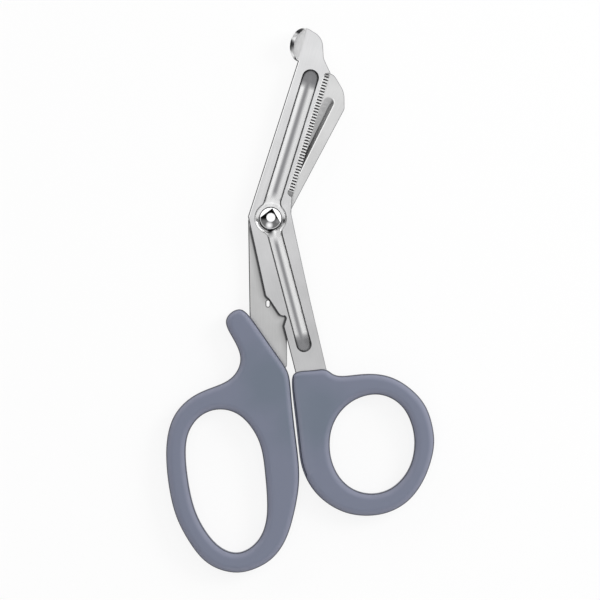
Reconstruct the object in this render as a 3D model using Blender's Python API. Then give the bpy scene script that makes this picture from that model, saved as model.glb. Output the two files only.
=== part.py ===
# Bandage scissors with a serrated front blade, a plain rear blade and two moulded loop handles.
# The scissors lie flat and closed. The pivot's axis is +Z through the origin, the blades point along +Y
# and the surface they lie on is z = 0. Sizes are in millimetres and become metres as meshes are made.

import math

import bmesh
import bpy
import numpy as np
from mathutils import Matrix, Vector
from mathutils.geometry import delaunay_2d_cdt

MM = 0.001

# Blade sheets. Heights count from the shear plane, the level that the two blades share.
sheet_thickness = 1.5
face_lift = 0.45
running_gap = 0.15
press_depth = 0.9
groove_width = 5.4
lip_width = 0.45
lip_depth = 0.38
rib_width = 3.9
trough_width = 3.9
trough_depth = 0.55
trough_valley_shift = 0.7
dish_diameter = 11.3
dish_floor_diameter = 9.0
dish_inner_spread = 0.375
grind_width = 1.75
grind_runout = 3.2
edge_land = 0.25
set_width = 2.6
set_fade = 4.0

# Serration of the front blade.
tooth_pitch = 1.055
notch_width = 0.5
notch_length = 1.35
notch_depth = 0.35
notch_bite = 0.15
first_notch = 2.45

# Blunt foot at the tip of the front blade.
foot_radius = 3.4
foot_fold_step = math.radians(11.25)
foot_bend_step = math.radians(15)

# Pivot.
screw_diameter = 4.0
screw_clearance = 0.3
head_diameter = 8.0
head_rim = 0.45
head_edge_break = 0.15
dome_height = 1.65
seat_gap = 0.3
screw_end_reach = 0.4
screw_end_chamfer = 0.3
nut_across_flats = 7.0
nut_chamfer = 0.35
nut_face_inset = 0.15

# Handles.
handle_thickness = 8.4
roll_height = 1.9
outer_roll_width = 2.4
loop_roll_width = 2.5
roll_step = math.radians(30)
tang_clearance = 0.3
lock_hole_diameter = 5.0
outline_step = 2.6

# Small slot in the rear tang.
slot_width = 1.9
slot_length = 5.0

shear_height = handle_thickness / 2
arc_step = math.radians(15)
same_place = 0.01
runout_shares = (0.0, 0.06, 0.25, 0.6, 1.0)

# Front blade: the cutting edge runs from its heel to its tip.
front_heel = Vector((7.45, 7.3))
front_tip = Vector((20.85, 50.6))
front_grooves = [
    {"start": (-0.87, 0.0), "end": (14.2, 49.1), "rib": True},
    {"start": (0.0, 0.0), "end": (11.6, -43.9), "rib": False},
]
front_troughs = []
front_lock_hole = (15.3, -60.6)
fold_top = Vector((12.9, 66.2))
fold_bow = Vector((12.3, 60.5))
fold_bottom = Vector((9.5, 54.7))

# Corners are x, y and fillet radius, taken round the blade from the end of the tang.
front_corners_below = [
    (11.9, -69.5, 2.5), (19.4, -69.5, 2.5), (20.6, -57.5, 3.0), (13.72, -28.3, 30.0),
    (8.6, -5.2, 20.0), (7.1, 2.0, 4.0),
]
front_corners_above = [
    (18.5, 55.6, 5.0), (18.05, 63.0, 7.6),
]
front_corners_spine = [
    (-7.9, 0.6, 0.6), (-1.75, -27.2, 2.0), (-0.5, -28.3, 3.0), (3.0, -33.6, 1.2), (5.6, -34.2, 0.9),
    (4.5, -37.6, 1.6), (6.0, -43.3, 8.0), (8.2, -52.0, 6.0), (9.6, -57.5, 4.0),
]

# Rear blade, in the same way.
rear_heel = Vector((-1.2, 10.3))
rear_tip = Vector((17.6, 51.2))
rear_grooves = [
    {"start": (0.0, 0.0), "end": (-0.7, -22.5), "rib": False},
]
rear_troughs = [
    {"start": (3.6, 7.2), "end": (20.1, 40.3)},
]
rear_lock_hole = (-1.0, -58.0)
rear_corners_below = [
    (-7.35, -33.0, 0.0), (-6.6, -52.0, 6.0), (-4.8, -66.0, 2.5), (3.0, -66.0, 2.5), (3.6, -54.6, 2.0),
    (5.7, -51.4, 0.9), (5.7, -42.5, 20.0), (7.9, -22.0, 40.0), (7.15, 0.5, 4.0), (7.25, 3.3, 1.0),
]
rear_corners_above = [
    (25.75, 38.1, 2.4), (25.7, 44.0, 8.0), (22.3, 49.8, 4.0), (18.2, 51.9, 0.5),
]
rear_corners_boss = [
    (-3.6, 7.4, 2.0), (-7.85, -0.4, 2.5),
]
slot_bottom = Vector((-0.94, -30.27))

# Handles: points that a smooth closed curve runs through.
finger_outline = [
    (-10.8, -31.7), (-8.3, -33.1), (-2.1, -41.4), (2.5, -48.0), (5.4, -52.4), (6.5, -55.4), (7.25, -62.3),
    (8.25, -72.1), (9.2, -79.9), (9.9, -87.1), (9.7, -94.4), (8.1, -103.1), (5.3, -111.8), (0.5, -118.5),
    (-5.8, -122.2), (-11.7, -123.4), (-18.0, -122.2), (-23.6, -118.7), (-28.7, -112.1), (-32.8, -104.0),
    (-35.2, -94.7), (-36.3, -85.0), (-36.1, -77.3), (-34.4, -70.5), (-31.1, -65.4), (-26.0, -61.4),
    (-20.0, -58.8), (-15.1, -56.6), (-12.0, -53.6), (-10.6, -49.9), (-11.0, -46.4), (-12.9, -42.3),
    (-15.0, -38.4), (-15.5, -35.4), (-13.6, -32.7),
]
finger_hole = [
    (-17.5, -66.6), (-11.4, -68.3), (-6.7, -72.9), (-3.5, -79.4), (-2.0, -88.4), (-1.3, -97.2),
    (-1.5, -104.5), (-3.5, -110.8), (-7.6, -115.1), (-12.4, -116.5), (-17.6, -114.5), (-22.5, -109.2),
    (-26.4, -101.5), (-28.7, -91.6), (-29.6, -81.8), (-28.4, -74.3), (-23.9, -68.6),
]
thumb_outline = [
    (10.2, -53.3), (14.8, -52.9), (19.1, -52.7), (21.3, -54.0), (24.0, -54.9), (30.8, -54.4), (37.8, -54.4),
    (43.7, -56.1), (49.6, -60.1), (54.2, -65.9), (56.5, -73.0), (56.95, -78.7), (55.7, -85.1), (52.8, -92.1),
    (47.9, -98.4), (41.3, -102.3), (33.8, -103.6), (26.1, -102.5), (19.0, -98.7), (13.9, -93.2),
    (10.9, -86.6), (9.8, -80.2), (8.85, -71.6), (7.8, -62.6), (7.4, -57.0), (8.0, -54.4),
]
thumb_hole = [
    (37.1, -61.4), (42.5, -63.0), (46.7, -66.8), (49.3, -72.5), (50.1, -78.3), (49.1, -84.8),
    (46.0, -90.5), (41.1, -94.5), (35.0, -95.9), (28.7, -94.3), (24.0, -90.1), (21.3, -84.3),
    (20.6, -78.0), (21.8, -71.9), (25.4, -66.3), (30.8, -62.6),
]


def clear_objects():
    for item in list(bpy.data.objects):
        bpy.data.objects.remove(item, do_unlink=True)


def make_material(name, colour, roughness, metallic):
    material = bpy.data.materials.new(name)
    material.use_nodes = True
    shader = material.node_tree.nodes["Principled BSDF"]
    shader.inputs["Base Color"].default_value = (*colour, 1.0)
    shader.inputs["Roughness"].default_value = roughness
    shader.inputs["Metallic"].default_value = metallic
    return material


def make_object(name, shape, material, smooth_angle=35.0):
    bmesh.ops.recalc_face_normals(shape, faces=shape.faces)
    mesh = bpy.data.meshes.new(name)
    shape.to_mesh(mesh)
    shape.free()
    mesh.transform(Matrix.Scale(MM, 4))
    if material:
        mesh.materials.append(material)
    mesh.shade_smooth()
    mesh.set_sharp_from_angle(angle=math.radians(smooth_angle))
    item = bpy.data.objects.new(name, mesh)
    bpy.context.collection.objects.link(item)
    return item


def make_cutter(name, shape):
    cutter = make_object(name, shape, None)
    cutter.hide_render = True
    cutter.display_type = "WIRE"
    return cutter


def cut(item, cutter, operation="DIFFERENCE"):
    boolean = item.modifiers.new(cutter.name, "BOOLEAN")
    boolean.operation = operation
    boolean.solver = "EXACT"
    boolean.object = cutter


# Outlines in the plane.


def fillet_outline(corners):
    points = []
    for index, (x, y, radius) in enumerate(corners):
        here = Vector((x, y))
        back = Vector(corners[index - 1][:2]) - here
        ahead = Vector(corners[(index + 1) % len(corners)][:2]) - here
        turn = math.pi - back.angle(ahead)
        reach = min(radius * math.tan(turn / 2), 0.48 * back.length, 0.48 * ahead.length)
        if radius == 0 or reach < 0.02:
            points.append(here)
            continue
        start = here + back.normalized() * reach
        centre_side = (back.normalized() + ahead.normalized()).normalized()
        centre = here + centre_side * reach / math.sin(turn / 2)
        sign = 1 if back.cross(ahead) < 0 else -1
        steps = max(2, math.ceil(turn / arc_step))
        for step in range(steps + 1):
            swing = Matrix.Rotation(sign * turn * step / steps, 2)
            points.append(centre + swing @ (start - centre))
    return points


def smooth_loop(points):
    # A closed cubic curve through the points, with the same slope and bend on both sides of each.
    knots = np.array(points, float)
    count = len(knots)
    spans = np.sqrt(np.linalg.norm(np.roll(knots, -1, axis=0) - knots, axis=1))
    system = np.zeros((count, count))
    pull = np.zeros((count, 2))
    for i in range(count):
        j = (i + 1) % count
        system[i, i - 1] += spans[i - 1]
        system[i, i] += 2 * (spans[i - 1] + spans[i])
        system[i, j] += spans[i]
        pull[i] = 6 * ((knots[j] - knots[i]) / spans[i] - (knots[i] - knots[i - 1]) / spans[i - 1])
    bend = np.linalg.solve(system, pull)
    curve = []
    for i in range(count):
        j = (i + 1) % count
        span = spans[i]
        steps = max(2, math.ceil(span**2 / outline_step))
        for step in range(steps):
            t = span * step / steps
            rest = span - t
            point = (bend[i] * rest**3 + bend[j] * t**3) / (6 * span)
            point += (knots[i] / span - bend[i] * span / 6) * rest
            point += (knots[j] / span - bend[j] * span / 6) * t
            curve.append(Vector(point))
    return curve


def signed_area(points):
    return sum(a.cross(b) for a, b in zip(points, points[1:] + points[:1])) / 2


def offset_loop(points, distances):
    # Moves a closed outline outward by one distance for each point, or inward where it is negative.
    side = 1 if signed_area(points) > 0 else -1
    moved = []
    for index, here in enumerate(points):
        back = (here - points[index - 1]).normalized()
        ahead = (points[(index + 1) % len(points)] - here).normalized()
        along = (back + ahead).normalized()
        normal = Vector((along.y, -along.x)) * side
        stretch = 1 / max(0.6, math.sqrt((1 + back.dot(ahead)) / 2))
        moved.append(here + normal * distances[index] * stretch)
    return moved


def circle(centre, radius, count):
    angles = [2 * math.pi * k / count for k in range(count)]
    return [Vector(centre) + radius * Vector((math.cos(a), math.sin(a))) for a in angles]


def capsule(start, end, radius, end_steps=10):
    # An outline at one distance all round the line from start to end.
    start = Vector(start)
    end = Vector(end)
    along = (end - start).normalized()
    points = []
    for centre, heading in ((end, along), (start, -along)):
        for step in range(end_steps + 1):
            turn = Matrix.Rotation(math.pi * (step / end_steps - 0.5), 2)
            points.append(centre + radius * (turn @ heading))
    return points


def line_distance(point, start, end):
    start = Vector(start)
    along = Vector(end) - start
    share = max(0.0, min(1.0, (point - start).dot(along) / along.length_squared))
    return (point - start - along * share).length


# Blades: a flat sheet whose two skins take their heights from the pressed and ground shapes.


class CuttingEdge:
    # Places along the edge from its heel and across the blade from the edge.
    def __init__(self, heel, tip):
        self.heel = heel
        self.length = (tip - heel).length
        self.along = (tip - heel).normalized()
        left = Vector((-self.along.y, self.along.x))
        self.across = left

    def facing(self, inside_point):
        if (Vector(inside_point) - self.heel).dot(self.across) < 0:
            self.across = -self.across
        return self

    def point(self, along, across):
        return self.heel + self.along * along + self.across * across

    def locate(self, point):
        offset = point - self.heel
        return offset.dot(self.along), offset.dot(self.across)

    def grind_reach(self, along):
        # The ground strip is full width and runs out in a quarter round at each end.
        near = min(along, self.length - along)
        if near <= 0:
            return 0.0
        share = min(1.0, near / grind_runout)
        return grind_width * math.sqrt(1 - (1 - share) ** 2)

    def set_share(self, along):
        near = min(along, self.length - along) + set_fade / 2
        return max(0.0, min(1.0, near / set_fade))


def rib_height_full():
    return face_lift - running_gap


def share_of(value, whole):
    return max(0.0, min(1.0, value / whole))


def pressed_inner(point, blade):
    # How far the inner face bulges toward the other blade.
    dish_rim = dish_diameter / 2
    dish_floor = dish_floor_diameter / 2 + dish_inner_spread
    share = share_of(dish_rim - point.length, dish_rim - dish_floor)
    bulge = rib_height_full() * math.sin(share * math.pi / 2)
    for groove in blade["grooves"]:
        if groove["rib"]:
            reach = line_distance(point, groove["start"], groove["end"]) / (rib_width / 2)
            bulge = max(bulge, rib_height_full() * (1 - min(1.0, reach) ** 2))
    return bulge


def pressed_depth(inset, share):
    # A steep lip all round a pressed shape, then the rest of its depth by that share.
    if inset < lip_width:
        return lip_depth * share_of(inset, lip_width)
    return lip_depth + (press_depth - lip_depth) * share


def pressed_outer(point, blade):
    # How far the outer face is pressed in: a round dish, and grooves that are a V inside their lips.
    dish_lip = dish_diameter / 2 - lip_width
    inset = dish_diameter / 2 - point.length
    share = share_of(dish_lip - point.length, dish_lip - dish_floor_diameter / 2)
    press = pressed_depth(inset, math.sin(share * math.pi / 2))
    for groove in blade["grooves"]:
        reach = line_distance(point, groove["start"], groove["end"])
        inset = groove_width / 2 - reach
        press = max(press, pressed_depth(inset, 1 - share_of(reach, groove_width / 2 - lip_width)))
    return press


def trough_ends(trough):
    # The line of the trough's valley, to the right of its middle, and the way to that side.
    start, end = Vector(trough["start"]), Vector(trough["end"])
    along = (end - start).normalized()
    right = Vector((along.y, -along.x))
    return start + right * trough_valley_shift, end + right * trough_valley_shift, right


def trough_press(point, blade):
    # How far a trough is pressed away from the other blade: flat flanks from its valley to its rim.
    press = 0.0
    half = trough_width / 2
    for trough in blade["troughs"]:
        start, end, right = trough_ends(trough)
        along = end - start
        valley = start + along * share_of((point - start).dot(along), along.length_squared)
        offset = point - valley
        toward = offset.normalized().dot(right) * trough_valley_shift
        rim = math.sqrt(toward**2 + half**2 - trough_valley_shift**2) - toward
        press = max(press, trough_depth * (1 - share_of(offset.length, rim)))
    return press


def skin_heights(point, blade):
    # Heights of the inner and the outer skin above the shear plane. Only the inner skin leans toward
    # the other blade along the edge, and the ground face takes the outer skin down to the edge's land.
    edge = blade["edge"]
    along, across = edge.locate(point)
    inward = rib_height_full() * (1 - share_of(across, set_width)) * edge.set_share(along)
    trough = trough_press(point, blade)
    inner = face_lift - inward - pressed_inner(point, blade) + trough
    outer = face_lift + sheet_thickness - pressed_outer(point, blade) + trough
    reach = edge.grind_reach(along)
    slope = (rib_height_full() + sheet_thickness - edge_land) / grind_width
    outer -= slope * max(0.0, reach - max(0.0, across))
    return inner, outer


def fold_point(turn):
    # Places on the fold of the foot, close together at its two ends.
    t = (1 - math.cos(turn)) / 2
    return fold_top * (1 - t) ** 2 + fold_bow * 2 * t * (1 - t) + fold_bottom * t**2


def foot_skins(turn, share):
    # The sheet curls up to a right angle at the middle of the fold, and less toward the fold's ends,
    # so that its rim is one smooth arch.
    fold_along = (fold_bottom - fold_top).normalized()
    away = Vector((fold_along.y, -fold_along.x))
    rim_bend = math.pi / 2 * math.sin(turn)
    bend = rim_bend * share
    reach = (foot_radius + sheet_thickness) * math.sin(turn) - sheet_thickness * math.sin(rim_bend)
    rise = foot_radius * math.sin(turn) ** 2
    near = fold_point(turn) + away * reach * math.sin(bend) / math.sin(rim_bend)
    height = rise * (1 - math.cos(bend)) / (1 - math.cos(rim_bend))
    upper = Vector((*near, face_lift + sheet_thickness + height))
    outward = Vector((*(away * math.sin(bend)), -math.cos(bend)))
    return upper, upper + outward * sheet_thickness


def notch_lines(edge):
    # Guide lines and extra cuts of the serration: each notch is a short groove across the ground face.
    count = int((edge.length - first_notch - notch_width) / tooth_pitch) + 1
    outline, lines, cuts = [], [], {}
    for index in range(count):
        middle = first_notch + tooth_pitch * index
        left = edge.point(middle - notch_width / 2, 0)
        right = edge.point(middle + notch_width / 2, 0)
        mouth = edge.point(middle, notch_bite)
        left_end = edge.point(middle - notch_width / 2, notch_length)
        right_end = edge.point(middle + notch_width / 2, notch_length)
        valley = edge.point(middle, notch_length - notch_width / 2)
        round_end = edge.point(middle, notch_length + notch_width / 2)
        outline += [left, mouth, right]
        lines += [[left, left_end, round_end, right_end, right], [mouth, valley, round_end]]
        lines += [[left_end, valley, right_end]]
        cuts[plane_key(mouth)] = notch_depth / 2
        cuts[plane_key(valley)] = notch_depth
    return outline, lines, cuts


def plane_key(point):
    return (round(point.x, 3), round(point.y, 3))


def inside(point, loop):
    crossings = 0
    for a, b in zip(loop, loop[1:] + loop[:1]):
        if (a.y > point.y) != (b.y > point.y):
            if point.x < a.x + (b.x - a.x) * (point.y - a.y) / (b.y - a.y):
                crossings += 1
    return crossings % 2 == 1


def triangulate(loops, holes, lines):
    # Triangles of the sheet between its outline and holes, with an edge along every guide line.
    points, edges = [], []
    for line, closed in [(loop, True) for loop in loops + holes] + lines:
        start = len(points)
        points += line
        edges += [(start + k, start + k + 1) for k in range(len(line) - 1)]
        if closed:
            edges.append((len(points) - 1, start))
    result = delaunay_2d_cdt(points, edges, [], 1, 1e-5)
    triangles = []
    for face in result[2]:
        middle = sum((result[0][k] for k in face), Vector((0.0, 0.0))) / 3
        if inside(middle, loops[0]) and not any(inside(middle, hole) for hole in holes):
            triangles.append(list(face))
    return result[0], triangles


def close_sheet(uppers, lowers, faces):
    # Two skins with the same faces, joined by walls along every free edge.
    shape = bmesh.new()
    top = [shape.verts.new(point) for point in uppers]
    bottom = [shape.verts.new(point) for point in lowers]
    edge_use = {}
    for face in faces:
        shape.faces.new([top[k] for k in face])
        shape.faces.new([bottom[k] for k in reversed(face)])
        for a, b in zip(face, face[1:] + face[:1]):
            edge_use.setdefault(frozenset((a, b)), []).append((a, b))
    for uses in edge_use.values():
        if len(uses) == 1:
            a, b = uses[0]
            shape.faces.new((top[b], top[a], bottom[a], bottom[b]))
    loose = [vert for vert in shape.verts if not vert.link_faces]
    bmesh.ops.delete(shape, geom=loose, context="VERTS")
    return shape


def press_lines(blade):
    # The rims, lips and valleys of the pressed shapes, with the flanks of a rib's inner side.
    lines = []
    groove_half = groove_width / 2
    for groove in blade["grooves"]:
        radii = [groove_half, groove_half - lip_width, groove_half / 2, groove_half / 6]
        if groove["rib"]:
            radii.append(rib_width / 2)
        for radius in radii:
            lines.append((capsule(groove["start"], groove["end"], radius), True))
        lines.append(([Vector(groove["start"]), Vector(groove["end"])], False))
    for trough in blade["troughs"]:
        lines.append((capsule(trough["start"], trough["end"], trough_width / 2), True))
        lines.append((list(trough_ends(trough)[:2]), False))
    dish_rim = dish_diameter / 2
    dish_floor = dish_floor_diameter / 2
    for radius in (dish_rim, dish_rim - lip_width, (dish_rim - lip_width + dish_floor) / 2, dish_floor):
        lines.append((circle((0, 0), radius, 40), True))
    return lines


def grind_lines(edge):
    ramp = [grind_runout * share for share in runout_shares]
    places = ramp + [edge.length - place for place in reversed(ramp)]
    strip = [edge.point(place, max(edge.grind_reach(place), 0.0)) for place in places]
    set_line = [edge.point(place, set_width) for place in (0.0, set_fade / 2, edge.length - set_fade / 2)]
    return [(strip, False), (set_line, False)]


def blade_shape(blade, side):
    outline = fillet_outline(blade["corners"])
    outline = [here for here, back in zip(outline, outline[-1:] + outline[:-1])
               if (here - back).length > same_place]
    bore = circle((0, 0), screw_diameter / 2 + screw_clearance, 32)
    lock = circle(blade["lock_hole"], lock_hole_diameter / 2, 24)
    holes = [bore, lock] + blade["slots"]
    lines = press_lines(blade) + grind_lines(blade["edge"])
    lines += [(line, False) for line in blade["notch_lines"]]
    points, faces = triangulate([outline], holes, lines)
    uppers, lowers = [], []
    for point in points:
        inner, outer = skin_heights(point, blade)
        outer -= blade["notch_cuts"].get(plane_key(point), 0.0)
        uppers.append(Vector((*point, outer)))
        lowers.append(Vector((*point, inner)))
    if blade["foot"]:
        add_foot(points, uppers, lowers, faces)
    lift = Matrix.Translation((0, 0, shear_height)) @ Matrix.Diagonal((1, 1, side, 1))
    uppers = [lift @ point for point in uppers]
    lowers = [lift @ point for point in lowers]
    return close_sheet(uppers, lowers, faces), outline


def fold_turns():
    count = max(4, round(math.pi / foot_fold_step))
    return [math.pi * k / count for k in range(count + 1)]


def add_foot(points, uppers, lowers, faces):
    places = {plane_key(point): index for index, point in enumerate(points)}
    bend_steps = max(2, round(math.pi / 2 / foot_bend_step))
    rows = []
    for turn in fold_turns():
        row = [places[plane_key(fold_point(turn))]]
        for step in range(1, bend_steps + 1):
            if min(turn, math.pi - turn) < 0.001:
                row.append(row[0])
                continue
            upper, lower = foot_skins(turn, step / bend_steps)
            row.append(len(uppers))
            uppers.append(upper)
            lowers.append(lower)
        rows.append(row)
    for row, following in zip(rows, rows[1:]):
        for step in range(bend_steps):
            face = [row[step], row[step + 1], following[step + 1], following[step]]
            face = list(dict.fromkeys(face))
            if len(face) > 2:
                faces.append(face)


def edge_corners(points):
    return [(point.x, point.y, 0.0) for point in points]


def ramp_points(edge, at_start):
    ramp = [grind_runout * share for share in runout_shares[:-1]]
    if at_start:
        return [edge.point(place, 0) for place in ramp]
    return [edge.point(edge.length - place, 0) for place in reversed(ramp)]


def front_blade_record():
    edge = CuttingEdge(front_heel, front_tip).facing((0, 0))
    teeth, lines, cuts = notch_lines(edge)
    fold = [fold_point(turn) for turn in fold_turns()]
    corners = front_corners_below + edge_corners(ramp_points(edge, True)[:3] + teeth)
    corners += edge_corners([edge.point(edge.length, 0)]) + front_corners_above
    corners += edge_corners(fold) + front_corners_spine
    return {"corners": corners, "edge": edge, "grooves": front_grooves, "troughs": front_troughs,
            "notch_lines": lines, "notch_cuts": cuts, "lock_hole": front_lock_hole, "slots": [], "foot": True}


def rear_blade_record():
    edge = CuttingEdge(rear_heel, rear_tip).facing((0, 0))
    heel_side = edge_corners(reversed(ramp_points(edge, True)))
    tip_side = edge_corners(reversed(ramp_points(edge, False)))
    corners = rear_corners_below + rear_corners_above + tip_side + heel_side + rear_corners_boss
    slot_top = slot_bottom + Vector((0, slot_length - slot_width))
    slot = capsule(slot_bottom, slot_top, slot_width / 2, 6)
    return {"corners": corners, "edge": edge, "grooves": rear_grooves, "troughs": rear_troughs,
            "notch_lines": [], "notch_cuts": {}, "lock_hole": rear_lock_hole, "slots": [slot], "foot": False}


# Handles.


def roll_profile(width):
    # Inset and height pairs up the wall, from the lower flat face to the upper one.
    steps = max(2, round(math.pi / 2 / roll_step))
    quarter = [math.pi / 2 * k / steps for k in range(steps + 1)]
    lower = [(width * (1 - math.sin(a)), roll_height * (1 - math.cos(a))) for a in quarter]
    return lower + [(inset, handle_thickness - height) for inset, height in reversed(lower)]


def roll_shares(points, width, side):
    # The rolled edge narrows where the outline turns more tightly than the roll is wide.
    turn_side = 1 if signed_area(points) > 0 else -1
    limits = []
    for index, here in enumerate(points):
        back = here - points[index - 1]
        ahead = points[(index + 1) % len(points)] - here
        turn = back.angle_signed(ahead) * turn_side * side
        radius = (back.length + ahead.length) / 2 / max(turn, 1e-6)
        limits.append(min(1.0, 0.85 * radius / width))
    count = len(limits)
    near = [min(limits[(k + step) % count] for step in (-2, -1, 0, 1, 2)) for k in range(count)]
    return [sum(near[(k + step) % count] for step in (-2, -1, 0, 1, 2)) / 5 for k in range(count)]


def handle_shape(outline, hole):
    shape = bmesh.new()
    rims = []
    for points, width, side in ((outline, outer_roll_width, -1), (hole, loop_roll_width, 1)):
        rings = []
        shares = roll_shares(points, width, side)
        for inset, height in roll_profile(width):
            loop = offset_loop(points, [side * inset * share for share in shares])
            rings.append([shape.verts.new((*point, height)) for point in loop])
        for lower, upper in zip(rings, rings[1:]):
            for k in range(len(lower)):
                nxt = (k + 1) % len(lower)
                shape.faces.new((lower[k], lower[nxt], upper[nxt], upper[k]))
        rims.append((rings[0], rings[-1]))
    for level in (0, 1):
        edges = []
        for rim in rims:
            loop = rim[level]
            pairs = zip(loop, loop[1:] + loop[:1])
            edges += [shape.edges.get(pair) for pair in pairs]
        bmesh.ops.triangle_fill(shape, edges=edges, use_beauty=True)
    return shape


def prism(outline, holes, low, high):
    points, faces = triangulate([outline], holes, [])
    return close_sheet([Vector((*p, high)) for p in points], [Vector((*p, low)) for p in points], faces)


def tang_pocket(name, outline, blade, side):
    # The room that the tang takes in the moulding, with the peg through its lock hole left standing.
    near = shear_height + side * (face_lift - tang_clearance)
    far = shear_height + side * (face_lift + sheet_thickness + tang_clearance)
    room = offset_loop(outline, [tang_clearance] * len(outline))
    peg = circle(blade["lock_hole"], lock_hole_diameter / 2 - tang_clearance, 24)
    return make_cutter(name, prism(room, [peg], min(near, far), max(near, far)))


# Pivot.


def turned_shape(profile, steps=32):
    # Turns a profile of radius and height pairs, which begins and ends on the axis.
    shape = bmesh.new()
    rings = []
    for radius, height in profile:
        if radius == 0:
            rings.append([shape.verts.new((0, 0, height))])
        else:
            rings.append([shape.verts.new((*point, height)) for point in circle((0, 0), radius, steps)])
    for low, high in zip(rings, rings[1:]):
        for k in range(steps):
            nxt = (k + 1) % steps
            corners = [low[k % len(low)], low[nxt % len(low)], high[nxt % len(high)], high[k % len(high)]]
            shape.faces.new(list(dict.fromkeys(corners)))
    return shape


def head_seat():
    return shear_height + face_lift + sheet_thickness - press_depth + seat_gap


def nut_seat():
    return shear_height - face_lift - sheet_thickness + press_depth - seat_gap


def dome_profile():
    # A cap of a sphere over the rim of the head.
    radius = head_diameter / 2
    sphere = (radius**2 + dome_height**2) / (2 * dome_height)
    spread = math.asin(min(1.0, radius / sphere))
    base = head_seat() + head_rim
    steps = 7
    cap = []
    for k in range(steps):
        angle = spread * (1 - k / steps)
        cap.append((sphere * math.sin(angle), base + sphere * (math.cos(angle) - math.cos(spread))))
    return cap + [(0, base + dome_height)]


def screw_shape():
    shank = screw_diameter / 2
    rim = head_diameter / 2
    profile = [(0, 0), (shank - screw_end_chamfer, 0), (shank, screw_end_chamfer), (shank, head_seat())]
    profile += [(rim - head_edge_break, head_seat()), (rim, head_seat() + head_edge_break)]
    profile += dome_profile()
    return turned_shape(profile)


def build_nut(material):
    low = screw_end_reach
    high = nut_seat()
    corner = nut_across_flats / math.sqrt(3)
    hexagon = circle((0, 0), corner, 6)
    bore = circle((0, 0), screw_diameter / 2 + screw_clearance, 32)
    nut = make_object("pivot_nut", prism(hexagon, [bore], low, high), material)
    flat = nut_across_flats / 2 - nut_face_inset
    slope = (corner + nut_face_inset - flat) / nut_chamfer
    past = nut_chamfer / 2
    profile = [(0, low - past), (flat - slope * past, low - past), (corner + nut_face_inset, low + nut_chamfer)]
    profile += [(corner + nut_face_inset, high - nut_chamfer), (flat - slope * past, high + past)]
    profile += [(0, high + past)]
    cut(nut, make_cutter("nut_corner_turning", turned_shape(profile, 48)), "INTERSECT")
    return nut


def main():
    clear_objects()
    blade_steel = make_material("satin_blade_steel", (0.62, 0.62, 0.63), 0.32, 1.0)
    rear_steel = make_material("rear_blade_steel", (0.56, 0.56, 0.57), 0.34, 1.0)
    bright_steel = make_material("polished_pivot_steel", (0.72, 0.72, 0.73), 0.1, 1.0)
    nut_steel = make_material("nut_steel", (0.6, 0.6, 0.6), 0.25, 1.0)
    plastic = make_material("grey_blue_plastic", (0.180, 0.202, 0.283), 0.48, 0.0)

    front = front_blade_record()
    rear = rear_blade_record()
    front_shape, front_outline = blade_shape(front, 1)
    rear_shape, rear_outline = blade_shape(rear, -1)
    front_blade = make_object("front_blade", front_shape, blade_steel)
    rear_blade = make_object("rear_blade", rear_shape, rear_steel)
    screw = make_object("pivot_screw", screw_shape(), bright_steel)
    nut = build_nut(nut_steel)

    finger = handle_shape(smooth_loop(finger_outline), smooth_loop(finger_hole))
    thumb = handle_shape(smooth_loop(thumb_outline), smooth_loop(thumb_hole))
    finger_handle = make_object("finger_handle", finger, plastic)
    thumb_handle = make_object("thumb_handle", thumb, plastic)
    cut(finger_handle, tang_pocket("rear_tang_pocket", rear_outline, rear, -1))
    cut(thumb_handle, tang_pocket("front_tang_pocket", front_outline, front, 1))

    pivot = bpy.data.objects.new("front_half_pivot", None)
    bpy.context.collection.objects.link(pivot)
    for item in (front_blade, thumb_handle):
        item.parent = pivot
    rear_half = bpy.data.objects.new("rear_half", None)
    bpy.context.collection.objects.link(rear_half)
    for item in (rear_blade, finger_handle, screw, nut):
        item.parent = rear_half


main()
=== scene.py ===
import math

import bpy
import numpy as np
from mathutils import Matrix, Vector
from mathutils.geometry import delaunay_2d_cdt


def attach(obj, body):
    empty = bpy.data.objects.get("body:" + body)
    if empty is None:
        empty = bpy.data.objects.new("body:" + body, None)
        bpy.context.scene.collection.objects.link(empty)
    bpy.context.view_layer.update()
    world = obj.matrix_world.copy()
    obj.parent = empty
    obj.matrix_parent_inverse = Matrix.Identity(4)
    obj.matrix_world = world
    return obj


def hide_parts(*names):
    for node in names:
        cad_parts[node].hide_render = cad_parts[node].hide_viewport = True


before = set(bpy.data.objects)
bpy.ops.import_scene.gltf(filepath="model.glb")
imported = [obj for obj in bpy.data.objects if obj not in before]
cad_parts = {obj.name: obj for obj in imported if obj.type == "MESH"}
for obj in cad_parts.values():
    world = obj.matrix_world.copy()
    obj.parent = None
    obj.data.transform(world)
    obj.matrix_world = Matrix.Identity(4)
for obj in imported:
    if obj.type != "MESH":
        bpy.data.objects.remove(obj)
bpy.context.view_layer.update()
mm = 0.001
print("frame loaded:", ", ".join(sorted(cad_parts)))


# small helpers

def linearColour(hexCode):
    # sRGB hex to the linear values that a shader socket takes
    values = [int(hexCode[k:k + 2], 16) / 255 for k in (1, 3, 5)]
    return tuple(v / 12.92 if v <= 0.04045 else ((v + 0.055) / 1.055) ** 2.4 for v in values) + (1.0,)


def addNode(tree, kind, settings=None, inputs=None):
    # one node with its settings; an input is a value, a socket, or a node, which gives its first live output
    node = tree.nodes.new(kind)
    for key, value in (settings or {}).items():
        setattr(node, key, value)
    for key, value in (inputs or {}).items():
        if isinstance(value, bpy.types.Node):
            value = next(socket for socket in value.outputs if socket.enabled)
        if isinstance(value, bpy.types.NodeSocket):
            tree.links.new(value, node.inputs[key])
        else:
            node.inputs[key].default_value = value
    return node


def startMaterial(name):
    material = bpy.data.materials.new(name)
    material.use_nodes = True
    tree = material.node_tree
    return material, tree, tree.nodes["Principled BSDF"]


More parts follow.
